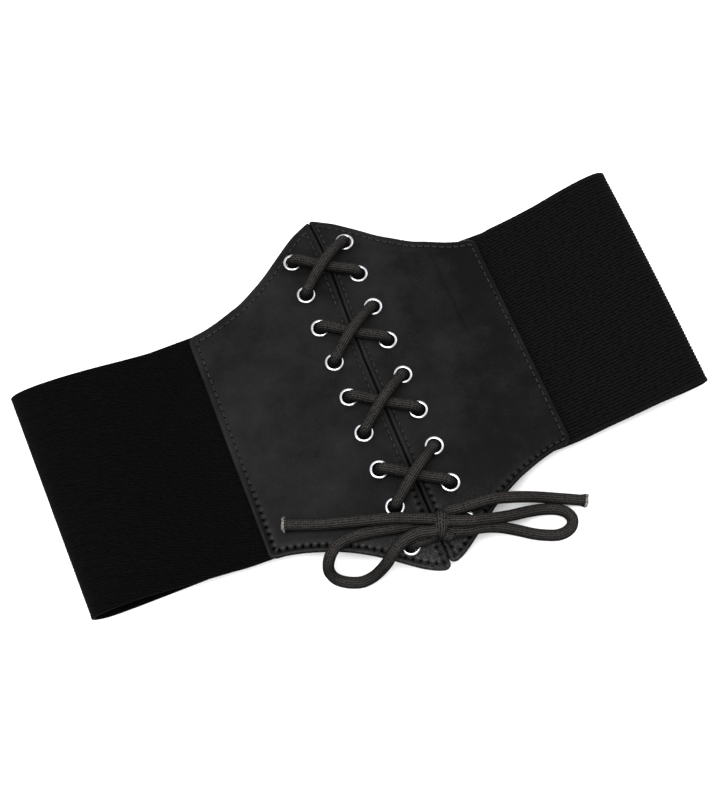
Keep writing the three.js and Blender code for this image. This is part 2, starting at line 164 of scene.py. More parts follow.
def makeCoatedLeather():
    # Coated split leather with a matt finish: a grey haze in soft clouds over a nearly black ground, fine
    # pores.
    # Painted light and shade: a painted sheen that fades to the right, painted highlights where it turns
    # over an edge or swells beside a seam, painted shade outside the stitches, in the seam, along the
    # crease and in the needle holes.
    material, tree, shader = newMaterial("coatedLeatherMatt")
    place = addNode(tree, "ShaderNodeTexCoord").outputs["Object"]
    parts = addNode(tree, "ShaderNodeSeparateXYZ", {"Vector": place}).outputs
    clouds = addNode(tree, "ShaderNodeTexNoise", {
        "Vector": place, "Scale": perSize(leatherLook["cloudSize"]), "Detail": 6.0, "Roughness": 0.62,
    }).outputs["Fac"]
    speck = addNode(tree, "ShaderNodeTexNoise", {
        "Vector": place, "Scale": perSize(leatherLook["speckSize"]), "Detail": 2.0,
    }).outputs["Fac"]
    cloudShare = addNode(tree, "ShaderNodeMapRange", {
        "Value": clouds, "From Min": 0.34, "From Max": 0.68,
        "To Min": leatherLook["cloudHaze"][0], "To Max": leatherLook["cloudHaze"][1],
    }).outputs["Result"]
    speckShare = addNode(tree, "ShaderNodeMapRange", {
        "Value": speck, "From Min": 0.3, "From Max": 0.7,
        "To Min": -leatherLook["speckHaze"], "To Max": leatherLook["speckHaze"],
    }).outputs["Result"]
    # Painted sheen: a paler haze on the left, where the light comes from, fading to the right
    eastward = addNode(tree, "ShaderNodeMath", {
        0: parts["Y"], 1: leatherLook["paintedLightTurn"], 2: parts["X"],
    }, operation="MULTIPLY_ADD").outputs[0]
    paintedLight = addNode(tree, "ShaderNodeMapRange", {
        "Value": eastward,
        "From Min": leatherLook["paintedLight"][0] * mm, "From Max": leatherLook["paintedLight"][1] * mm,
        "To Min": leatherLook["paintedLightHaze"][0], "To Max": leatherLook["paintedLightHaze"][1],
    }).outputs["Result"]
    hazeSum = addNode(tree, "ShaderNodeMath", {0: cloudShare, 1: paintedLight}, operation="ADD").outputs[0]
    hazeShare = addNode(tree, "ShaderNodeMath", {0: hazeSum, 1: speckShare}, operation="ADD",
                        use_clamp=True).outputs[0]
    ground = addNode(tree, "ShaderNodeMix", {
        "Factor": hazeShare,
        "A": linearColour(leatherLook["deep"]),
        "B": linearColour(leatherLook["haze"]),
    }, data_type="RGBA").outputs["Result"]

    # The tone's gain beside the edges and the stitches, painted light and shade: a painted highlight along
    # the fold of each turned edge, painted shade on the strip outside the stitches, a painted highlight
    # where the leather swells inside them
    rim = addNode(tree, "ShaderNodeAttribute", attribute_name="rim").outputs["Fac"]
    away = addNode(tree, "ShaderNodeAttribute", attribute_name="stitchAway").outputs["Fac"]
    phase = addNode(tree, "ShaderNodeAttribute", attribute_name="stitchPhase").outputs["Fac"]
    lowerEdgeLight = lowerEdgeLightShare(tree, place)
    fromFold = addNode(tree, "ShaderNodeMath", {0: rim, 1: leatherLook["foldAt"]},
                       operation="SUBTRACT").outputs[0]
    fromFold = addNode(tree, "ShaderNodeMath", {0: fromFold}, operation="ABSOLUTE").outputs[0]
    foldLit = addNode(tree, "ShaderNodeMapRange", {
        "Value": lowerEdgeLight, "To Min": 0.2, "To Max": 1.0,
    }).outputs["Result"]
    foldLine = addNode(tree, "ShaderNodeMapRange", {
        "Value": fromFold, "From Min": 0.1, "From Max": 0.6,
        "To Min": leatherLook["foldGain"], "To Max": 0.0,
    }).outputs["Result"]
    turnedEdge = addNode(tree, "ShaderNodeMath", {0: foldLine, 1: foldLit}, operation="MULTIPLY").outputs[0]
    # Painted shade on the strip outside the stitches, deepest along the lower edges
    outside = addNode(tree, "ShaderNodeMapRange", {
        "Value": away, "From Min": -0.6, "From Max": 0.1, "To Min": 1.0, "To Max": 0.0,
    }).outputs["Result"]
    shadier = addNode(tree, "ShaderNodeMapRange", {
        "Value": lowerEdgeLight,
        "To Min": leatherLook["stripGain"][0], "To Max": leatherLook["stripGain"][1],
    }).outputs["Result"]
    strip = addNode(tree, "ShaderNodeMath", {0: outside, 1: shadier}, operation="MULTIPLY").outputs[0]
    # Painted highlight where the padded body swells inside the stitches, strongest along the lower edges
    swellStart = addNode(tree, "ShaderNodeMapRange", {
        "Value": away, "From Min": 0.1, "From Max": 0.8,
    }).outputs["Result"]
    swellEnd = addNode(tree, "ShaderNodeMapRange", {
        "Value": away, "From Min": 0.9, "From Max": 3.0,
        "To Min": leatherLook["swellGain"], "To Max": 0.0,
    }).outputs["Result"]
    swell = addNode(tree, "ShaderNodeMath", {0: swellStart, 1: swellEnd}, operation="MULTIPLY").outputs[0]
    swell = addNode(tree, "ShaderNodeMath", {0: swell, 1: lowerEdgeLight}, operation="MULTIPLY").outputs[0]

    # Needle holes sit where the stitches' phase is whole, puckers between them: painted shade round the
    # holes, painted highlights on the puckers
    turned = addNode(tree, "ShaderNodeMath", {0: phase, 1: 2 * math.pi}, operation="MULTIPLY").outputs[0]
    wave = addNode(tree, "ShaderNodeMath", {0: turned}, operation="COSINE").outputs[0]
    beside = addNode(tree, "ShaderNodeMath", {0: away, 1: leatherLook["puckerAt"]},
                     operation="SUBTRACT").outputs[0]
    beside = addNode(tree, "ShaderNodeMath", {0: beside}, operation="ABSOLUTE").outputs[0]
    puckered = addNode(tree, "ShaderNodeMapRange", {
        "Value": beside, "From Min": 0.2, "From Max": 1.3,
        "To Min": leatherLook["puckerGain"], "To Max": 0.0,
    }).outputs["Result"]
    puckered = addNode(tree, "ShaderNodeMath", {0: puckered, 1: lowerEdgeLight},
                       operation="MULTIPLY").outputs[0]
    pucker = addNode(tree, "ShaderNodeMath", {0: puckered, 1: wave}, operation="MULTIPLY").outputs[0]
    # Painted glints on the grain of the lower tips, which droop towards the light in front
    tips = addNode(tree, "ShaderNodeMapRange", {
        "Value": parts["Y"],
        "From Min": leatherLook["tips"][0] * mm, "From Max": leatherLook["tips"][1] * mm,
    }).outputs["Result"]
    glints = addNode(tree, "ShaderNodeMapRange", {
        "Value": speck, "From Min": 0.44, "From Max": 0.6,
        "To Min": 0.0, "To Max": leatherLook["tipGlint"],
    }).outputs["Result"]
    tipGlints = addNode(tree, "ShaderNodeMath", {0: tips, 1: glints}, operation="MULTIPLY").outputs[0]
    # Painted shade in the seam, a painted highlight on the ridge of each turned edge beside it, painted
    # shade along the fold line
    seam = addNode(tree, "ShaderNodeAttribute", attribute_name="seam").outputs["Fac"]
    folded = addNode(tree, "ShaderNodeAttribute", attribute_name="crease").outputs["Fac"]
    inSeam = addNode(tree, "ShaderNodeMapRange", {
        "Value": seam, "From Min": 0.1, "From Max": 0.5,
        "To Min": leatherLook["seamGain"], "To Max": 0.0,
    }).outputs["Result"]
    fromRidge = addNode(tree, "ShaderNodeMath", {0: seam, 1: leatherLook["ridgeAt"]},
                        operation="SUBTRACT").outputs[0]
    fromRidge = addNode(tree, "ShaderNodeMath", {0: fromRidge}, operation="ABSOLUTE").outputs[0]
    ridge = addNode(tree, "ShaderNodeMapRange", {
        "Value": fromRidge, "From Max": 0.6, "To Min": leatherLook["ridgeGain"], "To Max": 0.0,
    }).outputs["Result"]
    gain = turnedEdge
    for change in (strip, swell, pucker, tipGlints, inSeam, ridge):
        gain = addNode(tree, "ShaderNodeMath", {0: gain, 1: change}, operation="ADD").outputs[0]
    gain = addNode(tree, "ShaderNodeMath", {0: folded, 1: leatherLook["creaseGain"], 2: gain},
                   operation="MULTIPLY_ADD").outputs[0]
    gain = addNode(tree, "ShaderNodeMath", {0: gain, 1: 1.0}, operation="ADD").outputs[0]
    shaded = addNode(tree, "ShaderNodeHueSaturation", {"Value": gain, "Color": ground}).outputs["Color"]
    # Painted shade in each needle hole
    shifted = addNode(tree, "ShaderNodeMath", {0: phase, 1: 0.5}, operation="ADD").outputs[0]
    part = addNode(tree, "ShaderNodeMath", {0: shifted}, operation="FRACT").outputs[0]
    centred = addNode(tree, "ShaderNodeMath", {0: part, 1: 0.5}, operation="SUBTRACT").outputs[0]
    fromHole = addNode(tree, "ShaderNodeMath", {0: centred, 1: leatherLook["stitchPitch"]},
                       operation="MULTIPLY").outputs[0]
    apart = addNode(tree, "ShaderNodeCombineXYZ", {"X": fromHole, "Y": away}).outputs["Vector"]
    distance = addNode(tree, "ShaderNodeVectorMath", {0: apart}, operation="LENGTH").outputs["Value"]
    distance = addNode(tree, "ShaderNodeMath", {0: lowerEdgeLight, 1: -leatherLook["holeGrowth"], 2: distance},
                       operation="MULTIPLY_ADD").outputs[0]
    hole = addNode(tree, "ShaderNodeMapRange", {
        "Value": distance, "From Min": leatherLook["holeSize"] * leatherLook["holeCore"],
        "From Max": leatherLook["holeSize"], "To Min": 1.0, "To Max": 0.0,
    }).outputs["Result"]
    pierced = addNode(tree, "ShaderNodeMapRange", {
        "Value": seam, "From Min": 3.0, "From Max": 5.0,
        "To Min": leatherLook["holeDepth"][0], "To Max": leatherLook["holeDepth"][1],
    }).outputs["Result"]
    hole = addNode(tree, "ShaderNodeMath", {0: hole, 1: pierced}, operation="MULTIPLY").outputs[0]
    colour = addNode(tree, "ShaderNodeMix", {
        "Factor": hole, "A": shaded, "B": linearColour(leatherLook["hole"]),
    }, data_type="RGBA").outputs["Result"]
    tree.links.new(colour, shader.inputs["Base Color"])

    # The sheen follows the tone, and is gone in the needle holes
    unpierced = addNode(tree, "ShaderNodeMath", {0: 1.0, 1: hole}, operation="SUBTRACT").outputs[0]
    sheen = addNode(tree, "ShaderNodeMath", {0: gain, 1: unpierced}, operation="MULTIPLY").outputs[0]
    sheen = addNode(tree, "ShaderNodeMath", {0: sheen, 1: leatherLook["sheen"]}, operation="MULTIPLY",
                    use_clamp=True).outputs[0]
    tree.links.new(sheen, shader.inputs["Specular IOR Level"])
    rough = addNode(tree, "ShaderNodeMapRange", {
        "Value": hazeShare, "To Min": leatherLook["roughRubbed"], "To Max": leatherLook["roughMatt"],
    })
    tree.links.new(rough.outputs["Result"], shader.inputs["Roughness"])
    pores = addNode(tree, "ShaderNodeTexVoronoi", {
        "Vector": place, "Scale": perSize(leatherLook["grainSize"]), "Randomness": 1.0,
    }, feature="DISTANCE_TO_EDGE").outputs["Distance"]
    grain = addNode(tree, "ShaderNodeMath", {0: pores, 1: speck}, operation="ADD").outputs[0]
    relief = addNode(tree, "ShaderNodeMath", {0: pucker, 1: leatherLook["puckerRelief"], 2: grain},
                     operation="MULTIPLY_ADD").outputs[0]
    relief = addNode(tree, "ShaderNodeMath", {0: hole, 1: leatherLook["holeRelief"], 2: relief},
                     operation="MULTIPLY_ADD").outputs[0]
    strength, depth = leatherLook["relief"]
    bump = addNode(tree, "ShaderNodeBump", {
        "Height": relief, "Strength": strength, "Distance": depth * mm,
    })
    tree.links.new(bump.outputs["Normal"], shader.inputs["Normal"])
    shader.inputs["IOR"].default_value = 1.48
    return material


liningLook = {
    "thread": "#1a1a1a",
    "gap": "#0b0b0b",
    "weaveSize": 0.8,
    "relief": (0.5, 0.2),
    "roughness": 0.95,
}


def makeNonwovenLining():
    # Pressed fibre lining on the backs of the panels: dull, slightly felted.
    material, tree, shader = newMaterial("nonwovenLining")
    place = addNode(tree, "ShaderNodeTexCoord").outputs["Object"]
    fibre = addNode(tree, "ShaderNodeTexNoise", {
        "Vector": place, "Scale": perSize(liningLook["weaveSize"]), "Detail": 4.0,
    }).outputs["Fac"]
    colour = addNode(tree, "ShaderNodeMix", {
        "Factor": fibre, "A": linearColour(liningLook["gap"]), "B": linearColour(liningLook["thread"]),
    }, data_type="RGBA")
    tree.links.new(colour.outputs["Result"], shader.inputs["Base Color"])
    strength, depth = liningLook["relief"]
    bump = addNode(tree, "ShaderNodeBump", {
        "Height": fibre, "Strength": strength, "Distance": depth * mm,
    })
    tree.links.new(bump.outputs["Normal"], shader.inputs["Normal"])
    shader.inputs["Roughness"].default_value = liningLook["roughness"]
    shader.inputs["IOR"].default_value = 1.5
    return material


elasticLook = {
    "ridge": "#0c0c0c",
    "valleyShade": "#020202",
    "waver": 3.4,  # mm over which the slack ribs break off and start again
    "breakWidth": 1.5,
    "breakShift": 2.4,
    "dashTone": 0.42,
    "dashStrength": (0.15, 0.7),
    "pickLength": 1.8,  # weft picks are about 0.4 mm apart, drawn coarser to show
    "pickWidth": 0.75,
    "pickTurn": -38.0,
    "pickReach": (3.0, 0.6),  # where the elastic is tight, and where it is slack
    "tone": (1.0, 0.5),  # likewise
    "relief": (0.6, 0.18),
    "roughness": 0.92,
    "sheen": 0.04,
}


def makeWovenElastic():
    # Woven polyester over rubber cords: matt lengthwise ribs where it is drawn tight, and where
    # it is slack they break into short slanting dashes; painted shade darkens the low parts between them.
    material, tree, shader = newMaterial("wovenElasticWebbing")
    rib = addNode(tree, "ShaderNodeAttribute", attribute_name="rib").outputs["Fac"]
    slack = addNode(tree, "ShaderNodeAttribute", attribute_name="slack").outputs["Fac"]
    along = addNode(tree, "ShaderNodeAttribute", attribute_name="clothAlong").outputs["Fac"]
    across = addNode(tree, "ShaderNodeAttribute", attribute_name="clothAcross").outputs["Fac"]
    phase = addNode(tree, "ShaderNodeAttribute", attribute_name="dashPhase").outputs["Fac"]
    cloth = addNode(tree, "ShaderNodeCombineXYZ", {"X": along, "Y": across}).outputs["Vector"]
    breakPlace = addNode(tree, "ShaderNodeMapping", {
        "Vector": cloth,
        "Scale": (elasticLook["waver"], elasticLook["breakWidth"], 1.0),
    }, vector_type="TEXTURE").outputs["Vector"]
    breaks = addNode(tree, "ShaderNodeTexNoise", {
        "Vector": breakPlace, "Scale": 1.0, "Detail": 3.0, "Roughness": 0.6,
    }).outputs["Fac"]
    # The breaks shift each dash sideways and dim some of them
    shifted = addNode(tree, "ShaderNodeMath", {0: breaks, 1: elasticLook["breakShift"], 2: phase},
                      operation="MULTIPLY_ADD").outputs[0]
    turned = addNode(tree, "ShaderNodeMath", {0: shifted, 1: 2 * math.pi},
                     operation="MULTIPLY").outputs[0]
    dashes = addNode(tree, "ShaderNodeMath", {0: turned}, operation="COSINE").outputs[0]
    dimmed = addNode(tree, "ShaderNodeMapRange", {
        "Value": breaks, "From Min": 0.38, "From Max": 0.58,
        "To Min": elasticLook["dashStrength"][0], "To Max": elasticLook["dashStrength"][1],
    }).outputs["Result"]
    dashShare = addNode(tree, "ShaderNodeMath", {0: dashes, 1: dimmed, 2: elasticLook["dashTone"]},
                        operation="MULTIPLY_ADD").outputs[0]
    pickPlace = addNode(tree, "ShaderNodeMapping", {
        "Vector": cloth,
        "Rotation": (0.0, 0.0, math.radians(elasticLook["pickTurn"])),
        "Scale": (elasticLook["pickLength"], elasticLook["pickWidth"], 1.0),
    }, vector_type="TEXTURE").outputs["Vector"]
    picks = addNode(tree, "ShaderNodeTexNoise", {
        "Vector": pickPlace, "Scale": 1.0, "Detail": 1.0,
    }).outputs["Fac"]
    pickReach = addNode(tree, "ShaderNodeMapRange", {
        "Value": slack, "To Min": elasticLook["pickReach"][0], "To Max": elasticLook["pickReach"][1],
    }).outputs["Result"]
    centred = addNode(tree, "ShaderNodeMath", {0: picks, 1: 0.5}, operation="SUBTRACT").outputs[0]
    pickShare = addNode(tree, "ShaderNodeMath", {0: centred, 1: pickReach},
                        operation="MULTIPLY").outputs[0]
    ridges = addNode(tree, "ShaderNodeMapRange", {
        "Value": rib, "From Min": 0.2, "From Max": 0.95,
    }).outputs["Result"]
    weave = addNode(tree, "ShaderNodeMix", {
        "Factor": slack, "A": ridges, "B": dashShare,
    }).outputs["Result"]
    height = addNode(tree, "ShaderNodeMath", {0: weave, 1: pickShare}, operation="ADD").outputs[0]
    share = addNode(tree, "ShaderNodeClamp", {"Value": height}).outputs["Result"]
    # Painted shade: the colour darkens where the ribs and dashes are low
    woven = addNode(tree, "ShaderNodeMix", {
        "Factor": share,
        "A": linearColour(elasticLook["valleyShade"]),
        "B": linearColour(elasticLook["ridge"]),
    }, data_type="RGBA").outputs["Result"]
    dulled = addNode(tree, "ShaderNodeMapRange", {
        "Value": slack, "To Min": elasticLook["tone"][0], "To Max": elasticLook["tone"][1],
    }).outputs["Result"]
    colour = addNode(tree, "ShaderNodeHueSaturation", {"Value": dulled, "Color": woven})
    tree.links.new(colour.outputs["Color"], shader.inputs["Base Color"])
    strength, depth = elasticLook["relief"]
    bump = addNode(tree, "ShaderNodeBump", {
        "Height": height, "Strength": strength, "Distance": depth * mm,
    })
    tree.links.new(bump.outputs["Normal"], shader.inputs["Normal"])
    shader.inputs["Roughness"].default_value = elasticLook["roughness"]
    shader.inputs["IOR"].default_value = 1.45
    shader.inputs["Specular IOR Level"].default_value = elasticLook["sheen"]
    return material


nickelLook = {
    # crown: the rim's top, painted lit; slope: its sides, painted in shade
    "crown": "#d0d0d3",
    "slope": "#808084",
    "crownFrom": 0.72,  # upward share of the surface's direction at which the slope ends
    "unevenSize": 0.6,
    "relief": (0.08, 0.05),
    "roughness": (0.168, 0.336),
}


def makePolishedNickel():
    # Nickel plate on stamped brass: a bright, slightly uneven mirror, with painted shade darkening it down
    # the rim's slopes and its crown painted brightest.
    material, tree, shader = newMaterial("polishedNickelPlate")
    place = addNode(tree, "ShaderNodeTexCoord").outputs["Object"]
    uneven = addNode(tree, "ShaderNodeTexNoise", {
        "Vector": place, "Scale": perSize(nickelLook["unevenSize"]), "Detail": 2.0,
    }).outputs["Fac"]
    rough = addNode(tree, "ShaderNodeMapRange", {
        "Value": uneven, "To Min": nickelLook["roughness"][0], "To Max": nickelLook["roughness"][1],
    })
    tree.links.new(rough.outputs["Result"], shader.inputs["Roughness"])
    strength, depth = nickelLook["relief"]
    bump = addNode(tree, "ShaderNodeBump", {
        "Height": uneven, "Strength": strength, "Distance": depth * mm,
    })
    tree.links.new(bump.outputs["Normal"], shader.inputs["Normal"])
    # Painted light: brightest where the rim faces up, painted shade down its slopes
    normal = addNode(tree, "ShaderNodeNewGeometry").outputs["Normal"]
    upward = addNode(tree, "ShaderNodeSeparateXYZ", {"Vector": normal}).outputs["Z"]
    crown = addNode(tree, "ShaderNodeMapRange", {
        "Value": upward, "From Min": nickelLook["crownFrom"], "From Max": 1.0,
    }).outputs["Result"]
    colour = addNode(tree, "ShaderNodeMix", {
        "Factor": crown,
        "A": linearColour(nickelLook["slope"]),
        "B": linearColour(nickelLook["crown"]),
    }, data_type="RGBA").outputs["Result"]
    tree.links.new(colour, shader.inputs["Base Color"])
    shader.inputs["Metallic"].default_value = 1.0
    return material


laceLook = {
    "strandTop": "#32302e",
    "gapShade": "#030303",
    "columns": 14,  # strands of the cover that show as columns round the lace
    "stitch": 1.0,  # along the lace, from one slanting strand to the next
    "slant": 0.8,
    "fibreSize": 0.75,  # fibres are finer, drawn coarser to show
    "fuzz": 0.35,
    "sideTone": (0.03, 1.05),  # painted shade down the lace's sides, and painted light on its crown
    "relief": (0.7, 0.15),
    "roughness": 0.85,
    "sheen": 0.05,
    "melted": "#66625c",
    "meltSize": 1.0,
    "meltRelief": (0.6, 0.3),
    "meltRoughness": 0.5,
}


def makeBraidedPolyester():
    # Round braided polyester lace: warm charcoal, matt, in columns of small slanting strands that
    # lean to the left and right by turns, with painted shade in the gaps between them.
    material, tree, shader = newMaterial("braidedPolyesterLace")
    place = addNode(tree, "ShaderNodeTexCoord").outputs["Object"]
    cosine = addNode(tree, "ShaderNodeAttribute", attribute_name="braidCos").outputs["Fac"]
    sine = addNode(tree, "ShaderNodeAttribute", attribute_name="braidSin").outputs["Fac"]
    along = addNode(tree, "ShaderNodeAttribute", attribute_name="braidAlong").outputs["Fac"]
    angle = addNode(tree, "ShaderNodeMath", {0: sine, 1: cosine}, operation="ARCTAN2").outputs[0]
    column = addNode(tree, "ShaderNodeMath", {0: angle, 1: laceLook["columns"] / (2 * math.pi)},
                     operation="MULTIPLY").outputs[0]
    part = addNode(tree, "ShaderNodeMath", {0: column}, operation="FRACT").outputs[0]
    across = addNode(tree, "ShaderNodeMath", {0: part, 1: 0.5}, operation="SUBTRACT").outputs[0]
    # 1 in every second column, 0 between them, then -1 and 1
    pair = addNode(tree, "ShaderNodeMath", {0: column, 1: 0.5}, operation="MULTIPLY").outputs[0]
    pairPart = addNode(tree, "ShaderNodeMath", {0: pair}, operation="FRACT").outputs[0]
    second = addNode(tree, "ShaderNodeMath", {0: pairPart, 1: 0.5}, operation="GREATER_THAN").outputs[0]
    leaning = addNode(tree, "ShaderNodeMath", {0: second, 1: 2 * laceLook["slant"], 2: -laceLook["slant"]},
                      operation="MULTIPLY_ADD").outputs[0]
    stitches = addNode(tree, "ShaderNodeMath", {0: along, 1: 1 / laceLook["stitch"]},
                       operation="MULTIPLY").outputs[0]
    slanted = addNode(tree, "ShaderNodeMath", {0: across, 1: leaning, 2: stitches},
                      operation="MULTIPLY_ADD").outputs[0]
    turned = addNode(tree, "ShaderNodeMath", {0: slanted, 1: 2 * math.pi},
                     operation="MULTIPLY").outputs[0]
    wave = addNode(tree, "ShaderNodeMath", {0: turned}, operation="COSINE").outputs[0]
    strand = addNode(tree, "ShaderNodeMapRange", {
        "Value": wave, "From Min": -1.0, "From Max": 0.6, "To Min": 0.45, "To Max": 1.0,
    }).outputs["Result"]
    fromMiddle = addNode(tree, "ShaderNodeMath", {0: across}, operation="ABSOLUTE").outputs[0]
    ridge = addNode(tree, "ShaderNodeMapRange", {
        "Value": fromMiddle, "From Min": 0.16, "From Max": 0.5, "To Min": 1.0, "To Max": 0.1,
    }).outputs["Result"]
    cover = addNode(tree, "ShaderNodeMath", {0: ridge, 1: strand}, operation="MULTIPLY").outputs[0]
    fibre = addNode(tree, "ShaderNodeTexNoise", {
        "Vector": place, "Scale": perSize(laceLook["fibreSize"]), "Detail": 2.0,
    }).outputs["Fac"]
    fuzz = addNode(tree, "ShaderNodeMapRange", {
        "Value": fibre, "From Min": 0.3, "From Max": 0.7,
        "To Min": -laceLook["fuzz"], "To Max": laceLook["fuzz"],
    }).outputs["Result"]
    height = addNode(tree, "ShaderNodeMath", {0: cover, 1: fuzz}, operation="ADD").outputs[0]
    # Painted light on its crown, painted shade down its sides
    normal = addNode(tree, "ShaderNodeNewGeometry").outputs["Normal"]
    upward = addNode(tree, "ShaderNodeSeparateXYZ", {"Vector": normal}).outputs["Z"]
    crown = addNode(tree, "ShaderNodeMapRange", {
        "Value": upward, "From Min": 0.35, "From Max": 0.97,
        "To Min": laceLook["sideTone"][0], "To Max": laceLook["sideTone"][1],
    }).outputs["Result"]
    share = addNode(tree, "ShaderNodeMath", {0: height, 1: crown}, operation="MULTIPLY",
                    use_clamp=True).outputs[0]
    colour = addNode(tree, "ShaderNodeMix", {
        "Factor": share,
        "A": linearColour(laceLook["gapShade"]),
        "B": linearColour(laceLook["strandTop"]),
    }, data_type="RGBA")
    tree.links.new(colour.outputs["Result"], shader.inputs["Base Color"])
    strength, depth = laceLook["relief"]
    bump = addNode(tree, "ShaderNodeBump", {
        "Height": height, "Strength": strength, "Distance": depth * mm,
    })
    tree.links.new(bump.outputs["Normal"], shader.inputs["Normal"])
    shader.inputs["Roughness"].default_value = laceLook["roughness"]
    shader.inputs["IOR"].default_value = 1.5
    shader.inputs["Specular IOR Level"].default_value = laceLook["sheen"]
    return material


def makeSealedEnd():
    # Lace end melted shut: paler, hard and a little shiny, with burnt specks.
    material, tree, shader = newMaterial("heatSealedPolyester")
    place = addNode(tree, "ShaderNodeTexCoord").outputs["Object"]
    lumps = addNode(tree, "ShaderNodeTexNoise", {
        "Vector": place, "Scale": perSize(laceLook["meltSize"]), "Detail": 3.0,
    }).outputs["Fac"]
    burnt = addNode(tree, "ShaderNodeMapRange", {
        "Value": lumps, "From Min": 0.38, "From Max": 0.6,
    }).outputs["Result"]
    colour = addNode(tree, "ShaderNodeMix", {
        "Factor": burnt,
        "A": linearColour(laceLook["strandTop"]),
        "B": linearColour(laceLook["melted"]),
    }, data_type="RGBA")
    tree.links.new(colour.outputs["Result"], shader.inputs["Base Color"])
    strength, depth = laceLook["meltRelief"]
    bump = addNode(tree, "ShaderNodeBump", {
        "Height": lumps, "Strength": strength, "Distance": depth * mm,
    })
    tree.links.new(bump.outputs["Normal"], shader.inputs["Normal"])
    shader.inputs["Roughness"].default_value = laceLook["meltRoughness"]
    shader.inputs["IOR"].default_value = 1.57
    return material


threadLook = {
    "dark": "#070707",
    "paintedShade": "#121213",
    "paintedLight": "#333334",
    "twistSize": 0.4,
    "roughness": 0.55,
    "sheen": 0.12,
}


def makeBondedThread():
    # Bonded nylon thread, twisted and waxed: painted light makes it a shade lighter than the leather,
    # except along the lower edges, where it is painted in shade.
    material, tree, shader = newMaterial("bondedNylonThread")
    place = addNode(tree, "ShaderNodeTexCoord").outputs["Object"]
    twist = addNode(tree, "ShaderNodeTexNoise", {
        "Vector": place, "Scale": perSize(threadLook["twistSize"]), "Detail": 1.0,
    }).outputs["Fac"]
    # Painted light on the thread along the upper edges, painted shade along the lower ones
    plain = addNode(tree, "ShaderNodeMix", {
        "Factor": lowerEdgeLightShare(tree, place),
        "A": linearColour(threadLook["paintedLight"]),
        "B": linearColour(threadLook["paintedShade"]),
    }, data_type="RGBA").outputs["Result"]
    twistShare = addNode(tree, "ShaderNodeMapRange", {
        "Value": twist, "From Min": 0.35, "From Max": 0.65,
    }).outputs["Result"]
    colour = addNode(tree, "ShaderNodeMix", {
        "Factor": twistShare, "A": linearColour(threadLook["dark"]), "B": plain,
    }, data_type="RGBA")
    tree.links.new(colour.outputs["Result"], shader.inputs["Base Color"])
    shader.inputs["Roughness"].default_value = threadLook["roughness"]
    shader.inputs["IOR"].default_value = 1.53
    shader.inputs["Specular IOR Level"].default_value = threadLook["sheen"]
    return material


coatedLeather = makeCoatedLeather()
nonwovenLining = makeNonwovenLining()
wovenElastic = makeWovenElastic()
polishedNickel = makePolishedNickel()
braidedPolyester = makeBraidedPolyester()
sealedPolyester = makeSealedEnd()
bondedThread = makeBondedThread()
print("materials mixed")


def makePiece(name, points, faces, materials, replaces=(), faceMaterials=None, attributes=None):
    mesh = bpy.data.meshes.new(name)
    mesh.from_pydata((np.asarray(points, float) * mm).tolist(), [], faces)
    for material in materials:
        mesh.materials.append(material)
    if faceMaterials is not None:
        mesh.polygons.foreach_set("material_index", np.asarray(faceMaterials, np.int32))
    mesh.polygons.foreach_set("use_smooth", np.ones(len(mesh.polygons), bool))
    for key, values in (attributes or {}).items():
        layer = mesh.attributes.new(key, "FLOAT", "POINT")
        layer.data.foreach_set("value", np.asarray(values, np.float32).ravel())
    turn = bmesh.new()
    turn.from_mesh(mesh)
    bmesh.ops.recalc_face_normals(turn, faces=turn.faces)
    turn.to_mesh(mesh)
    turn.free()
    mesh.update()
    piece = bpy.data.objects.new(name, mesh)
    bpy.context.scene.collection.objects.link(piece)
    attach(piece, "root")
    if replaces:
        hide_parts(*replaces)
    return piece


def smoothThrough(points, steps):
    # Curve through the points, each of whose spans gets its own number of steps
    points = np.asarray(points, float)
    spans = np.linalg.norm(np.diff(points[:, :3], axis=0), axis=1)
    places = np.concatenate([[0.0], np.cumsum(np.sqrt(np.maximum(spans, 1e-6)))])
    slopes = np.diff(points, axis=0) / np.diff(places)[:, None]
    tangents = np.vstack([slopes[0], np.zeros_like(points[1:-1]), slopes[-1]])
    before, after = np.diff(places)[:-1, None], np.diff(places)[1:, None]
    tangents[1:-1] = (slopes[:-1] * after + slopes[1:] * before) / (before + after)
    rows = []
    for i, count in enumerate(steps):
        t = np.linspace(0, 1, count, endpoint=False)[:, None]
        width = places[i + 1] - places[i]
        rows.append(
            (2 * t**3 - 3 * t**2 + 1) * points[i]
            + (t**3 - 2 * t**2 + t) * width * tangents[i]
            + (3 * t**2 - 2 * t**3) * points[i + 1]
            + (t**3 - t**2) * width * tangents[i + 1]
        )
    return np.vstack([*rows, points[-1:]])


def lengthsAlong(points):
    return np.concatenate([[0.0], np.cumsum(np.linalg.norm(np.diff(points, axis=0), axis=1))])


def evenPath(points, spacing):
    dense = smoothThrough(points, [lace["spanSteps"]] * (len(points) - 1))
    along = lengthsAlong(dense)
    places = np.linspace(0, along[-1], max(2, round(along[-1] / spacing) + 1))
    return np.column_stack([np.interp(places, along, dense[:, k]) for k in range(3)]), places


def unit(vectors):
    return vectors / np.linalg.norm(vectors, axis=-1, keepdims=True)


def carriedFrames(path):
    # Two directions square to the path, carried along it without twist
    tangents = unit(np.gradient(path, axis=0))
    side = np.cross(tangents[0], (0.0, 0.0, 1.0))
    if np.linalg.norm(side) < 0.1:
        side = np.cross(tangents[0], (1.0, 0.0, 0.0))
    sides = []
    for tangent in tangents:
        side = side - tangent * side.dot(tangent)
        side = side / np.linalg.norm(side)
        sides.append(side)
    sides = np.array(sides)
    return tangents, sides, np.cross(tangents, sides)


def ringFaces(rings, around, closed=False):
    count = rings if closed else rings - 1
    i = np.arange(count)[:, None]
    j = np.arange(around)[None, :]
    following = (i + 1) % rings
    nextJ = (j + 1) % around
    quads = np.stack([
        i * around + j, i * around + nextJ, following * around + nextJ, following * around + j,
    ], axis=-1)
    return quads.reshape(-1, 4).tolist()


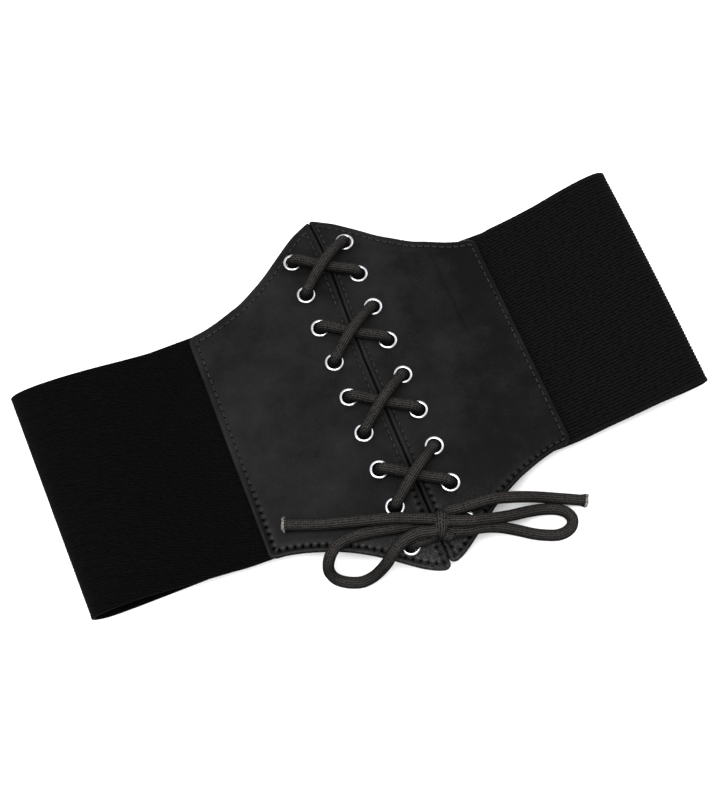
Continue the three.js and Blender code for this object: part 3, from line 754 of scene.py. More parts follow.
lace = {
    "radius": 2.25,
    "spacing": 0.45,
    "around": 56,
    "spanSteps": 24,
    "relief": 0.2,  # from the gap between two columns of strands to their middle
    "reliefLevel": 0.8,  # share of that height at which the lace measures its radius
    "flareReach": 2.4,
    "endSlant": 0.55,  # the top of a sealed end reaches this much further than its middle
    # The melted cap's rings: how far out, how much of the flare they take, how much of the radius
    "caps": [(0.25, 1.06, 1), (0.5, 0.5, 1), (0.3, 0, 0.84), (-0.2, 0, 0.4)],
    "capStep": 0.3,
    "lumpHeight": 0.06,
    "lumpPush": 2.2,
    "lumpSpread": 3,  # neighbours to each side that share a lump
    "lumpLoss": 2.6,  # about the root of seven, so that sharing leaves their height
    "floorLift": 0.03,
}


def columnHeight(turn):
    # 1 on the middle of a column of strands, 0 in the gap beside it
    return np.cos(math.pi * ((laceLook["columns"] * turn) % 1 - 0.5))


def braidAttributes(turn, along):
    # Two numbers round the lace, so that its braid has no seam, and one along it
    shape = np.broadcast(turn, along).shape
    return {
        "braidCos": np.broadcast_to(np.cos(2 * math.pi * turn), shape).ravel(),
        "braidSin": np.broadcast_to(np.sin(2 * math.pi * turn), shape).ravel(),
        "braidAlong": np.broadcast_to(along, shape).ravel(),
    }


def laceTube(route, flare=0.0):
    # Points, faces, faces' materials and attributes of a closed tube, with its path
    path, along = evenPath(route, lace["spacing"])
    tangents, sides, ups = carriedFrames(path)
    around = lace["around"]
    turn = np.arange(around) / around
    endShare = np.clip(1 - (along[-1] - along) / lace["flareReach"], 0, 1)[:, None] ** 2
    braidRelief = columnHeight(turn) - lace["reliefLevel"]
    radii = (lace["radius"] + lace["relief"] * braidRelief) * (1 + flare * endShare)
    circle = (
        np.cos(2 * math.pi * turn)[None, :, None] * sides[:, None, :]
        + np.sin(2 * math.pi * turn)[None, :, None] * ups[:, None, :]
    )
    rings = path[:, None, :] + radii[:, :, None] * circle
    if flare > 0:
        slant = lace["endSlant"] * circle[:, :, 2]
        rings = rings + (endShare * slant)[:, :, None] * tangents[:, None, :]
        # The melted cap: a lumpy lip that turns in to a shallow hollow
        lumps = np.random.default_rng(7).normal(0, lace["lumpHeight"], (len(lace["caps"]), around))
        spread = lace["lumpSpread"]
        lumps = sum(np.roll(lumps, k, 1) for k in range(-spread, spread + 1)) / lace["lumpLoss"]
        caps = []
        for k, (out, flared, share) in enumerate(lace["caps"]):
            capRadius = lace["radius"] * (share + flared * flare + lumps[k])
            push = out + lace["lumpPush"] * lumps[k] + slant[-1]
            centre = path[-1] + tangents[-1] * push[:, None]
            caps.append(centre + capRadius[:, None] * circle[-1])
        rings = np.concatenate([rings, np.array(caps)])
        along = np.concatenate([along, along[-1] + np.arange(1, len(caps) + 1) * lace["capStep"]])
    # Pressed a little flat where it lies on the floor
    rings[:, :, 2] = np.maximum(rings[:, :, 2], lace["floorLift"])
    count = len(rings)
    points = np.concatenate([rings.reshape(-1, 3), rings[0].mean(0)[None], rings[-1].mean(0)[None]])
    faces = ringFaces(count, around)
    first, last = count * around, count * around + 1
    base = (count - 1) * around
    for j in range(around):
        following = (j + 1) % around
        faces.append([first, following, j])
        faces.append([last, base + j, base + following])
    sealedFrom = (len(path) - 2) * around
    faceMaterials = [
        1 if flare > 0 and min(face) >= sealedFrom and first not in face else 0 for face in faces
    ]
    attributes = {
        key: np.concatenate([values, [values[0], values[-1]]])
        for key, values in braidAttributes(turn[None, :], along[:, None]).items()
    }
    return points, faces, faceMaterials, attributes, path


def makeLace(name, route, replaces, flare=0.0):
    points, faces, faceMaterials, attributes, path = laceTube(route, flare)
    materials = [braidedPolyester, sealedPolyester] if flare > 0 else [braidedPolyester]
    piece = makePiece(name, points, faces, materials, replaces,
                      faceMaterials if flare > 0 else None, attributes)
    return piece, path


# Routes of the bow, from the knot out. The first and last points of a loop lie inside the knot.
bow = {
    "knot": (7.3, -64.2, 15.8),
    "leftTail": [
        (6.3, -63.0, 17.0), (3.9, -61.9, 17.9), (-1.1, -59.6, 17.6), (-6.6, -57, 17), (-13.7, -54.4, 16.1),
        (-20.9, -52, 14.8), (-28.2, -49.6, 13.7), (-35.5, -47.2, 13.1), (-42.6, -44.5, 12.8),
        (-48.2, -42.2, 12.6),
    ],
    "rightTail": [
        (8.6, -62.4, 15.8), (10.9, -61, 15.6), (14.4, -61.4, 16), (18.4, -61.8, 16.1), (25, -61.8, 15),
        (31.4, -62.3, 13.5), (37.1, -63.6, 12.2), (43.8, -65, 9), (50, -66.4, 5.4), (55.6, -68.3, 3.2),
        (60.7, -70.6, 2.7), (66, -73.3, 2.9),
    ],
    "leftLoop": [
        (6.4, -63.4, 14.4), (3.9, -62.6, 13.3), (-1.5, -60.9, 13.4), (-9.4, -59.1, 13.4),
        (-17.7, -57.3, 13.3), (-24.6, -56.4, 13.2), (-29.5, -56.5, 13.2), (-33.6, -57.9, 13.2),
        (-37, -60.9, 11), (-38.2, -63.9, 6.6), (-36.6, -67, 3.5), (-32.4, -69.9, 2.5),
        (-27.6, -71.6, 2.8), (-23.4, -71.8, 5.1), (-20, -71.3, 8.9), (-16.8, -70.2, 12.9),
        (-13.2, -67.9, 16.2), (-8.1, -65.9, 18), (-2.1, -65.4, 18.3), (3.9, -66.6, 17.7),
        (6.4, -65.6, 16.8),
    ],
    "rightLoop": [
        (8.4, -64.8, 17.0), (10.9, -65.4, 17.9), (14.8, -67, 18.4), (18.6, -68.1, 17.8),
        (22.6, -68.6, 15.9), (27.9, -69.3, 13.2), (34.9, -69.7, 9.4), (42.1, -69.7, 5.5),
        (48.5, -70.4, 3.1), (53.6, -72.1, 2.4), (57, -74.6, 2.3), (58.2, -77.6, 2.3),
        (57, -80.4, 2.3), (54, -81.9, 2.3), (50.2, -81.9, 2.3), (46.2, -80.5, 2.4),
        (41.6, -78.4, 3.2), (35.2, -75.1, 6), (28.4, -72.3, 9.7), (21.9, -70.7, 12.5),
        (16.4, -70, 13.2), (11.2, -68.8, 14.6), (8.6, -67, 14.4),
    ],
    # how much wider each sealed end is, as a share of the radius
    "flares": {"leftTail": 0.4, "rightTail": 0.28},
    # the lace that comes out from under the knot's wrap and goes back below it
    "tuck": [
        (6.2, -66.4, 15.2), (6.7, -68.4, 15.6), (8.1, -69.7, 15.0), (9.6, -69.1, 14.0),
        (9.9, -67.0, 13.6), (9.0, -64.8, 13.8),
    ],
    # middle of the wrap, and its width from its lower turn to its upper one
    "wrap": (7.1, -64.8, 15.8),
    "wrapWidths": (3.2, 4.8, 5.7, 5.8, 5.3),
    "wrapReach": 5.9,
    "wrapDepth": 4.5,
    "wrapHalf": 1.7,
    "turned": -21.4,
}


def makeCord(name, key, node):
    piece, path = makeLace(name, bow[key], [node], bow["flares"].get(key, 0.0))


def makeKnot():
    # One wrap of lace round the bow, pressed wider than it is thick, and the tuck beside it
    turned = math.radians(bow["turned"])
    axis = np.array([math.cos(turned), math.sin(turned), 0.0])
    upwards = np.array([-math.sin(turned), math.cos(turned), 0.0])
    count = round(math.pi * (bow["wrapReach"] + bow["wrapDepth"]) / lace["spacing"])
    around = lace["around"]
    sweep = np.arange(count) / count * 2 * math.pi
    reach = bow["wrapReach"] - bow["wrapHalf"]
    depth = bow["wrapDepth"] - bow["wrapHalf"]
    rise = np.array([0.0, 0.0, 1.0])
    middle = (
        np.array(bow["wrap"]) + reach * np.cos(sweep)[:, None] * upwards
        + depth * np.sin(sweep)[:, None] * rise
    )
    outward = unit(
        np.cos(sweep)[:, None] / reach * upwards + np.sin(sweep)[:, None] / depth * rise
    )
    widths = np.interp(np.cos(sweep), np.linspace(-1, 1, 5), bow["wrapWidths"])
    turn = np.arange(around) / around
    grow = 1 + lace["relief"] / lace["radius"] * (columnHeight(turn) - lace["reliefLevel"])
    rings = (
        middle[:, None, :]
        + (widths[:, None] / 2 * grow * np.cos(2 * math.pi * turn))[:, :, None] * axis
        + (bow["wrapHalf"] * grow * np.sin(2 * math.pi * turn))[None, :, None] * outward[:, None, :]
    )
    wrapAlong = sweep * (reach + depth) / 2
    wrapFaces = ringFaces(count, around, closed=True)
    points, faces, _, attributes, _ = laceTube(bow["tuck"])
    wrapPoints = rings.reshape(-1, 3)
    faces = wrapFaces + [[k + len(wrapPoints) for k in face] for face in faces]
    wrapAttributes = braidAttributes(turn[None, :], wrapAlong[:, None])
    attributes = {key: np.concatenate([wrapAttributes[key], attributes[key]]) for key in attributes}
    makePiece("bowKnotBand", np.concatenate([wrapPoints, points]), faces, [braidedPolyester],
              ["bow_knot"], attributes=attributes)


makeCord("bowLoopLeft", "leftLoop", "bow_loop_left")
makeCord("bowLoopRight", "rightLoop", "bow_loop_right")
makeCord("bowTailLeft", "leftTail", "bow_tail_left")
makeCord("bowTailRight", "rightTail", "bow_tail_right")
makeKnot()
print("bow tied")

panel = {
    "seamX": 5.95,
    "seamGap": 0.4,
    "width": 63.7,
    "height": 160.9,
    "upperSide": 48.1,
    "lowerSide": 51.4,
    "skew": 1.3,  # the left panel sits this much lower than the right one
    "thickness": 2.0,
    "top": 11.1,
    "arch": 1.5,
    "droop": 2.0,
    "elasticWidth": 100.0,
    "sideCorner": 3.5,
    "tipCorner": {"upper": 1.6, "lower": 3.0},
    "edgeRoll": 0.9,
    "seamRoll": 1.1,
    # stitch line's distance from each edge, for the left and the right panel
    "upperInset": {-1: 3.4, 1: 2.7},
    "lowerInset": {-1: 2.6, 1: 2.3},
    "sideInset": {-1: 3.0, 1: 2.4},
    "seamInset": 2.5,
    "swell": 0.26,  # the padded body stands this much above the strip outside the stitches
    "swellFrom": 0.1,
    "swellTo": 6,
    "swellLevel": 0.45,
    "uneven": (0.09, 0.05),
    "groove": (0.3, 0.5),  # depth and width of the line of stitches
    "ridge": (0.12, 1.25, 0.7),  # height of each turned edge beside the seam, its place and width
    "eyeletDip": (0.16, 3.4, 1.6),  # how deep the leather is pressed round an eyelet, where, how wide
    "needleDip": (0.25, 0.5),
    "needleReach": 1.2,
    "stitchLength": 2.45,
    "stitchPoints": 7,
    "threadRadius": 0.24,
    "threadLift": 0.16,
    "threadDive": 0.5,
    "threadTaper": 0.35,
    "threadSides": 6,
    "linePoints": 240,
    "lineStep": 0.06,  # between the places on the line of stitches that a point is measured from
    "middleStep": 0.8,
    "rowStep": 0.95,
    "leastLean": 0.6,  # keeps the rows along a steep edge from spreading too far
    "seamClose": 0.197,  # each turned edge bulges this far into the seam
    "seamSoft": 2,
    "seamFade": 7.5,  # how far from the seam the panels follow its bend
}

# The seam bends to the right towards its upper end: at each y, by so much
seamBendY = [-90, 12, 33, 50, 65, 80]
seamBendX = [0, 0, 0.7, 1.6, 2.1, 1.5]

# across: share of the width from the seam. rise: share from the side's height to the tip's.
edgeAcross = [0, 0.08, 0.16, 0.24, 0.32, 0.4, 0.5, 0.6, 0.7, 0.8, 0.9, 1]
edgeRise = [1, 0.933, 0.832, 0.708, 0.58, 0.458, 0.327, 0.22, 0.139, 0.07, 0.02, 0]
# How the cut of each edge differs from the outline that the panels share
edgeTrim = {
    (-1, "upper"): [1.5, 0.2, 0, 0, 0, 0, 0, -0.2, 0, 0, 0, 0],
    (-1, "lower"): [-0.2, 0.3, 0.6, 0.6, 0.5, 0.5, 0.5, 0.5, 0.45, 0.4, 0.4, 0.4],
    (1, "upper"): [0.3, 0.5, 0.9, 0.85, 0.8, 0.45, 0.4, 0, 0, -0.5, -0.75, -0.9],
    (1, "lower"): [-0.6, -0.3, -0.4, -0.3, -0.3, -0.3, 0, 0, 0, 0, 0, 0],
}
edgeSteps = np.array([0, 0.1, 0.25, 0.45, 0.7, 1, 1.35, 1.7, 2.05, 2.4, 2.75, 3.1, 3.5, 4, 4.6, 5.3])

# Lengthwise fold line beside the right panel's middle, where it has been folded in its packing
crease = {"across": 43.6, "from": 4.0, "to": 48.0, "fade": 10.0, "width": 1.1, "depth": 0.28}

eyelet = {
    "rows": 9,
    "lacingInset": 15.09,
    "inset": 11.7,
    "drop": 1.0,
    "hole": 2.5,
    "holeCut": 3.15,  # radius of the leather's hole
    "rimHalf": 0.72,
    "rimHeight": 0.55,
    "rimPoints": 14,
    "rimInside": -0.6,
    "rimUnder": -0.3,
    "barrel": 0.3,
    "chamfer": 0.08,
    "flange": 1.3,
    "flangeWall": 0.4,
    "flangeRounding": 0.15,
    "gap": 0.3,
    "sides": 56,
    "spreadFrom": 2.0,  # the leather's grid between these radii is spread round the hole
    "spreadTo": 6.5,
}


def smoothTable(xs, ys, x):
    xs, ys = np.asarray(xs, float), np.asarray(ys, float)
    slopes = np.gradient(ys, xs)
    i = np.clip(np.searchsorted(xs, x) - 1, 0, len(xs) - 2)
    width = xs[i + 1] - xs[i]
    t = (x - xs[i]) / width
    return (
        (2 * t**3 - 3 * t**2 + 1) * ys[i]
        + (t**3 - 2 * t**2 + t) * width * slopes[i]
        + (3 * t**2 - 2 * t**3) * ys[i + 1]
        + (t**3 - t**2) * width * slopes[i + 1]
    )


def cornerCut(radius, distance):
    inside = np.clip(radius - distance, 0, radius)
    return radius - np.sqrt(radius**2 - inside**2)


def edgeHeight(side, edge, across):
    # Distance of the "upper" or the "lower" edge from the panel's middle
    rise = smoothTable(edgeAcross, edgeRise, across / panel["width"])
    sideHeight = panel[edge + "Side"]
    height = sideHeight + (panel["height"] / 2 - sideHeight) * rise
    return (
        height + smoothTable(edgeAcross, edgeTrim[side, edge], across / panel["width"])
        - cornerCut(panel["tipCorner"][edge], across)
        - cornerCut(panel["sideCorner"], panel["width"] - across)
    )


def edgeLean(edge, across):
    # Cosine of the edge's slope, with the round corners left out
    rise = smoothTable(edgeAcross, edgeRise, across / panel["width"])
    nudge = 0.002
    nudged = smoothTable(edgeAcross, edgeRise, np.clip(across / panel["width"] + nudge, 0, 1))
    slope = (nudged - rise) * (panel["height"] / 2 - panel[edge + "Side"]) / (nudge * panel["width"])
    return 1 / np.sqrt(1 + slope**2)


# A panel's own y is measured from its middle; the belt's y differs by half the skew
def beltY(side, y):
    return y + side * panel["skew"] / 2


def beltX(side, across):
    return panel["seamX"] + side * (panel["seamGap"] / 2 + across)


def faceX(side, across, y):
    # As beltX, with the seam bent and closed
    bend = np.interp(beltY(side, y), seamBendY, seamBendX)
    following = 1 - easedStep(across, 0, panel["seamFade"])
    closing = panel["seamClose"] * bell(across, 0, panel["seamSoft"])
    return beltX(side, across) + bend * following - side * closing


def panelTop(side, across, y):
    share = np.maximum(across, 0) / panel["width"]
    half = panel["elasticWidth"] / 2
    past = np.maximum(np.abs(beltY(side, y)) - half, 0) / (panel["height"] / 2 - half)
    return panel["top"] - panel["arch"] * share**2 - panel["droop"] * past**2


def eyeletPlace(row):
    pitch = (panel["height"] - 2 * eyelet["lacingInset"]) / (eyelet["rows"] - 1)
    return eyelet["inset"], ((eyelet["rows"] + 1) / 2 - row) * pitch - eyelet["drop"]


def bell(value, middle, width):
    return np.exp(-(((value - middle) / width) ** 2))


def easedStep(value, start, end):
    t = np.clip((value - start) / (end - start), 0, 1)
    return t * t * (3 - 2 * t)


def roundedEdge(distance, radius):
    inside = np.clip(1 - distance / radius, 0, 1)
    return radius * (1 - np.sqrt(1 - inside**2))


def panelDistances(side, across, y):
    # From the outer edges, from the seam, and inwards from the line of stitches
    upper = (edgeHeight(side, "upper", across) - y) * edgeLean("upper", across)
    lower = (edgeHeight(side, "lower", across) + y) * edgeLean("lower", across)
    outer = panel["width"] - across
    away = np.minimum.reduce([
        upper - panel["upperInset"][side], lower - panel["lowerInset"][side],
        outer - panel["sideInset"][side], across - panel["seamInset"],
    ])
    rim = np.minimum(np.minimum(upper, lower), outer)
    return np.maximum(rim, 0), np.maximum(across, 0), away


def stitchLine(side):
    # Closed line of (across, y), from a place beside the knot up the seam and round the panel
    across = np.linspace(panel["seamInset"], panel["width"] - panel["sideInset"][side],
                         panel["linePoints"])
    upper = edgeHeight(side, "upper", across) - panel["upperInset"][side] / edgeLean("upper", across)
    lower = panel["lowerInset"][side] / edgeLean("lower", across) - edgeHeight(side, "lower", across)
    start = [[panel["seamInset"], bow["knot"][1]]]
    corners = np.concatenate([
        start, np.column_stack([across, upper]), np.column_stack([across, lower])[::-1], start,
    ])
    return corners, lengthsAlong(corners)


def alongLine(corners, along, places):
    return np.column_stack([np.interp(places, along, corners[:, c]) for c in (0, 1)])


def stitchPlaces(side):
    corners, along = stitchLine(side)
    count = round(along[-1] / leatherLook["stitchPitch"])
    pitch = along[-1] / count
    stitches = []
    for k in range(count):
        start = k * pitch + (pitch - panel["stitchLength"]) / 2
        places = np.linspace(start, start + panel["stitchLength"], panel["stitchPoints"])
        stitches.append(alongLine(corners, along, places))
    holes = alongLine(corners, along, np.arange(count) * pitch)
    return stitches, holes


def stitchPhases(side, across, y):
    # How many stitches lie between the line's start and its nearest place to each point
    corners, along = stitchLine(side)
    places = np.linspace(0, along[-1], round(along[-1] / panel["lineStep"]))
    line = alongLine(corners, along, places)
    tree = KDTree(len(line))
    for k, (a, b) in enumerate(line.tolist()):
        tree.insert((a, b, 0.0), k)
    tree.balance()
    nearest = [tree.find((a, b, 0.0))[1] for a, b in zip(across.tolist(), y.tolist())]
    return places[nearest] / along[-1] * round(along[-1] / leatherLook["stitchPitch"])


def creaseShare(side, across, y):
    starts = easedStep(y, crease["from"], crease["from"] + crease["fade"])
    ends = easedStep(-y, -crease["to"], crease["fade"] - crease["to"])
    return (side > 0) * starts * ends * bell(across, crease["across"], crease["width"])


def panelFace(side, across, y, holes=None):
    rim, seam, away = panelDistances(side, across, y)
    face = panelTop(side, across, y) - np.maximum(
        roundedEdge(rim, panel["edgeRoll"]), roundedEdge(seam, panel["seamRoll"]))
    padding = easedStep(away, panel["swellFrom"], panel["swellTo"]) - panel["swellLevel"]
    face = face + panel["swell"] * padding
    face = face - panel["groove"][0] * bell(away, 0, panel["groove"][1])
    face = face + panel["ridge"][0] * bell(seam, *panel["ridge"][1:])
    # Soft unevenness of the hide: waves of 5 to 9 cm, and smaller ones of 2 to 3 cm
    long, short = panel["uneven"]
    face = face + long * np.sin(0.11 * y + 0.07 * across * side + 1.0) * np.sin(0.13 * across + 0.5)
    face = face + short * np.sin(0.31 * y - 0.21 * across + 2.0 * side)
    face = face - crease["depth"] * creaseShare(side, across, y)
    for row in range(1, eyelet["rows"] + 1):
        a, b = eyeletPlace(row)
        face = face - panel["eyeletDip"][0] * bell(np.hypot(across - a, y - b), *panel["eyeletDip"][1:])
    if holes is not None:
        flat = np.column_stack([across.ravel(), y.ravel()])
        near = np.flatnonzero(np.abs(away.ravel()) < panel["needleReach"])
        gaps = np.linalg.norm(flat[near][:, None, :] - holes[None, :, :], axis=2).min(1)
        dimple = np.zeros(len(flat))
        dimple[near] = panel["needleDip"][0] * bell(gaps, 0, panel["needleDip"][1])
        face = face - dimple.reshape(across.shape)
    return face


def panelGrid(side):
    inner = np.arange(edgeSteps[-1], panel["width"] - edgeSteps[-1], panel["middleStep"])[1:]
    across = np.concatenate([edgeSteps, inner, panel["width"] - edgeSteps[::-1]])
    upper, lower = edgeHeight(side, "upper", across), -edgeHeight(side, "lower", across)
    leanUp = np.maximum(edgeLean("upper", across), panel["leastLean"])
    leanDown = np.maximum(edgeLean("lower", across), panel["leastLean"])
    share = np.linspace(0, 1, round(panel["height"] / panel["rowStep"]))[None, 1:-1]
    low = lower[:, None] + edgeSteps[None, :] / leanDown[:, None]
    high = (upper[:, None] - edgeSteps[None, :] / leanUp[:, None])[:, ::-1]
    middle = low[:, -1:] + (high[:, :1] - low[:, -1:]) * share
    y = np.concatenate([low, middle, high], axis=1)
    return np.repeat(across[:, None], y.shape[1], axis=1), y


def openEyelets(across, y):
    # Spread the grid round each hole; returns the points to leave out
    start, hole, reach = eyelet["spreadFrom"], eyelet["holeCut"], eyelet["spreadTo"]
    cut = np.zeros(across.shape, bool)
    nearest = np.full(across.shape, -1)
    for row in range(1, eyelet["rows"] + 1):
        a, b = eyeletPlace(row)
        dx, dy = across - a, y - b
        away = np.hypot(dx, dy)
        cut |= away < start
        moved = hole + (away - start) * (reach - hole) / (reach - start)
        spread = np.where((away >= start) & (away < reach), moved / np.maximum(away, 1e-9), 1.0)
        across, y = a + dx * spread, b + dy * spread
        nearest[(away >= start) & (away < reach)] = row
    return across, y, cut, nearest


def makePanel(name, node, side):
    across, y = panelGrid(side)
    across, y, cut, nearest = openEyelets(across, y)
    columns, rows = across.shape
    index = np.arange(columns * rows).reshape(columns, rows)
    quads = np.stack([index[:-1, :-1], index[1:, :-1], index[1:, 1:], index[:-1, 1:]], axis=-1)
    kept = ~(cut[:-1, :-1] | cut[1:, :-1] | cut[1:, 1:] | cut[:-1, 1:])
    quads = quads[kept]
    # Edges that only one face uses run round the outline and round the holes
    starts = quads[:, [0, 1, 2, 3]].ravel()
    ends = quads[:, [1, 2, 3, 0]].ravel()
    total = columns * rows
    codes = set((starts * total + ends).tolist())
    rims = [(u, v) for u, v in zip(starts.tolist(), ends.tolist()) if v * total + u not in codes]
    flatAcross, flatY, flatNearest = across.ravel(), y.ravel(), nearest.ravel()
    for u, _ in rims:
        row = flatNearest[u]
        if row > 0:
            a, b = eyeletPlace(row)
            away = math.hypot(flatAcross[u] - a, flatY[u] - b)
            flatAcross[u] = a + (flatAcross[u] - a) * eyelet["holeCut"] / away
            flatY[u] = b + (flatY[u] - b) * eyelet["holeCut"] / away
    stitches, holes = stitchPlaces(side)
    front = panelFace(side, flatAcross, flatY, holes)
    rim, seam, away = panelDistances(side, flatAcross, flatY)
    back = panelTop(side, flatAcross, flatY) - panel["thickness"] + np.maximum(
        roundedEdge(rim, panel["edgeRoll"]), roundedEdge(seam, panel["edgeRoll"]))
    x, beltwise = faceX(side, flatAcross, flatY), beltY(side, flatY)
    points = np.concatenate([np.column_stack([x, beltwise, front]), np.column_stack([x, beltwise, back])])
    walls = [(v, u, u + total, v + total) for u, v in rims]
    faces = quads.tolist() + (quads[:, ::-1] + total).tolist() + walls
    faceMaterials = [0] * len(quads) + [1] * len(quads) + [0] * len(walls)
    used = np.unique(np.array(faces))
    order = np.full(2 * total, -1)
    order[used] = np.arange(len(used))
    faces = order[np.array(faces)].tolist()
    attributes = {
        "rim": np.tile(rim, 2)[used],
        "seam": np.tile(seam, 2)[used],
        "crease": np.tile(creaseShare(side, flatAcross, flatY), 2)[used],
        "stitchAway": np.tile(away, 2)[used],
        "stitchPhase": np.tile(stitchPhases(side, flatAcross, flatY), 2)[used],
    }
    makePiece(name, points[used], faces, [coatedLeather, nonwovenLining],
              [node], faceMaterials, attributes)
    makeStitches(name + "Stitches", side, stitches)


def makeStitches(name, side, stitches):
    # Each stitch is a short thread that dives into its holes at both ends
    ends = panel["threadSides"]
    points, faces = [], []
    for stitch in stitches:
        share = np.linspace(-1, 1, len(stitch))
        z = panelFace(side, stitch[:, 0], stitch[:, 1])
        z = z + panel["threadLift"] - panel["threadDive"] * np.abs(share) ** 6
        x = faceX(side, stitch[:, 0], stitch[:, 1])
        path = np.column_stack([x, beltY(side, stitch[:, 1]), z])
        _, sides, ups = carriedFrames(path)
        turn = np.arange(ends) / ends * 2 * math.pi
        radius = panel["threadRadius"] * (1 - panel["threadTaper"] * np.abs(share) ** 6)
        rings = path[:, None, :] + radius[:, None, None] * (
            np.cos(turn)[None, :, None] * sides[:, None, :] + np.sin(turn)[None, :, None] * ups[:, None, :]
        )
        base = len(points)
        points.extend(rings.reshape(-1, 3))
        faces.extend([[base + k for k in face] for face in ringFaces(len(stitch), ends)])
        faces.append([base + k for k in range(ends)][::-1])
        faces.append([base + (len(stitch) - 1) * ends + k for k in range(ends)])
    makePiece(name, np.array(points), faces, [bondedThread])


makePanel("leftLeatherPanel", "left_panel", -1)
makePanel("rightLeatherPanel", "right_panel", 1)
print("panels cut and stitched")


def eyeletSeat(side, row):
    across, y = eyeletPlace(row)
    z = float(panelTop(side, across, y))
    slopeX = side * (float(panelTop(side, across + 1, y)) - z)
    slopeY = float(panelTop(side, across, y + 1)) - z
    normal = unit(np.array([-slopeX, -slopeY, 1.0]))
    return np.array([beltX(side, across), beltY(side, y), z]), normal


def makeEyelet(sideName, side, row):
    centre, normal = eyeletSeat(side, row)
    hole, rim = eyelet["hole"], eyelet["rimHalf"]
    flangeEdge = hole + eyelet["barrel"] + eyelet["flange"]
    behind = -panel["thickness"] - eyelet["gap"]
    wall, rounding = eyelet["flangeWall"], eyelet["flangeRounding"]
    outline = []
    for turn in np.linspace(-0.3 * math.pi, 1.0 * math.pi, eyelet["rimPoints"]):
        outline.append((hole + rim * (1 + math.cos(turn)),
                        eyelet["gap"] + eyelet["rimHeight"] * math.sin(turn)))
    outline += [
        (hole, eyelet["rimInside"]), (hole, behind),
        (hole + eyelet["chamfer"], behind - wall + eyelet["chamfer"]),
        (hole + eyelet["barrel"], behind - wall), (flangeEdge - rounding, behind - wall),
        (flangeEdge, behind - wall / 2), (flangeEdge - rounding, behind),
        (hole + eyelet["barrel"], behind), (hole + eyelet["barrel"], eyelet["rimUnder"]),
        (hole + rim, eyelet["rimUnder"]),
    ]
    outline = np.array(outline)
    turns = np.arange(eyelet["sides"]) / eyelet["sides"] * 2 * math.pi
    east = unit(np.cross(normal, (0.0, 1.0, 0.0)) * -1)
    north = np.cross(normal, east)
    spokes = np.cos(turns)[:, None] * east + np.sin(turns)[:, None] * north
    reaches, heights = outline[:, 0][None, :, None], outline[:, 1][None, :, None]
    rings = centre + reaches * spokes[:, None, :] + heights * normal
    faces = ringFaces(eyelet["sides"], len(outline), closed=True)
    makePiece(f"nickelEyelet{sideName.title()}{row}", rings.reshape(-1, 3), faces,
              [polishedNickel], [f"eyelet_{sideName}_{row}"])


for sideName, side in (("left", -1), ("right", 1)):
    for row in range(1, eyelet["rows"] + 1):
        makeEyelet(sideName, side, row)
print("eyelets set")

threading = {
    "order": [
        (-1, 9), (-1, 8), (1, 7), (1, 6), (-1, 5), (-1, 4), (1, 3), (1, 2), (-1, 1),
        (1, 1), (-1, 2), (-1, 3), (1, 4), (1, 5), (-1, 6), (-1, 7), (1, 8), (1, 9),
    ],
    "bend": 3.3,
    "bendTurns": (90, 60, 30),
    "leftLegEnd": (1.9, -67.4, 13.1),
    "rightLegEnd": (11.7, -64.8, 13.2),
    "leftInKnot": (5.2, -66.6, 13.9),
    "rightInKnot": (9.3, -64.6, 14.2),
    "crossingReach": 0.2,
    "crossingPull": 0.7,
}


def rimBend(centre, normal, towards, face):
    level = eyelet["gap"] if face > 0 else -panel["thickness"] - eyelet["gap"] - eyelet["flangeWall"] / 2
    flat = towards - centre
    flat = unit(flat - normal * flat.dot(normal))
    bend = threading["bend"]
    return [
        centre + flat * bend * (1 - math.cos(turn)) + normal * (level + face * bend * math.sin(turn))
        for turn in map(math.radians, threading["bendTurns"])
    ]


def frontRun(i, start, end):
    side, row = threading["order"][i]
    rightRow = row if side > 0 else threading["order"][i + 1][1]
    under = panel["top"] + eyelet["gap"] + lace["radius"]
    over = under + 2 * lace["radius"] + eyelet["gap"]
    crossing = over if rightRow % 2 == 1 else under
    points = []
    for offset in (-threading["crossingReach"], 0, threading["crossingReach"]):
        point = start + (end - start) * (0.5 + offset)
        pull = 1 if offset == 0 else threading["crossingPull"]
        point[2] += (crossing - point[2] - eyelet["gap"] - threading["bend"]) * pull
        point[2] += eyelet["gap"] + threading["bend"]
        points.append(point)
    return points


def threadedRoute():
    seats = [eyeletSeat(side, row) for side, row in threading["order"]]
    first, last = np.array(threading["leftLegEnd"]), np.array(threading["rightLegEnd"])
    points = [np.array(threading["leftInKnot"]), first]
    for i, (centre, normal) in enumerate(seats):
        before = first if i == 0 else seats[i - 1][0]
        after = last if i == len(seats) - 1 else seats[i + 1][0]
        face = 1 if i % 2 == 0 else -1
        points += rimBend(centre, normal, before, face)
        points.append(centre + normal * (0 if face > 0 else -panel["thickness"]))
        points += rimBend(centre, normal, after, -face)[::-1]
        if i % 2 == 1 and i < len(seats) - 1:
            points += frontRun(i, centre, after)
    return [*points, last, np.array(threading["rightInKnot"])]


makeLace("threadedLace", threadedRoute(), ["threaded_lace"])
print("lace threaded")

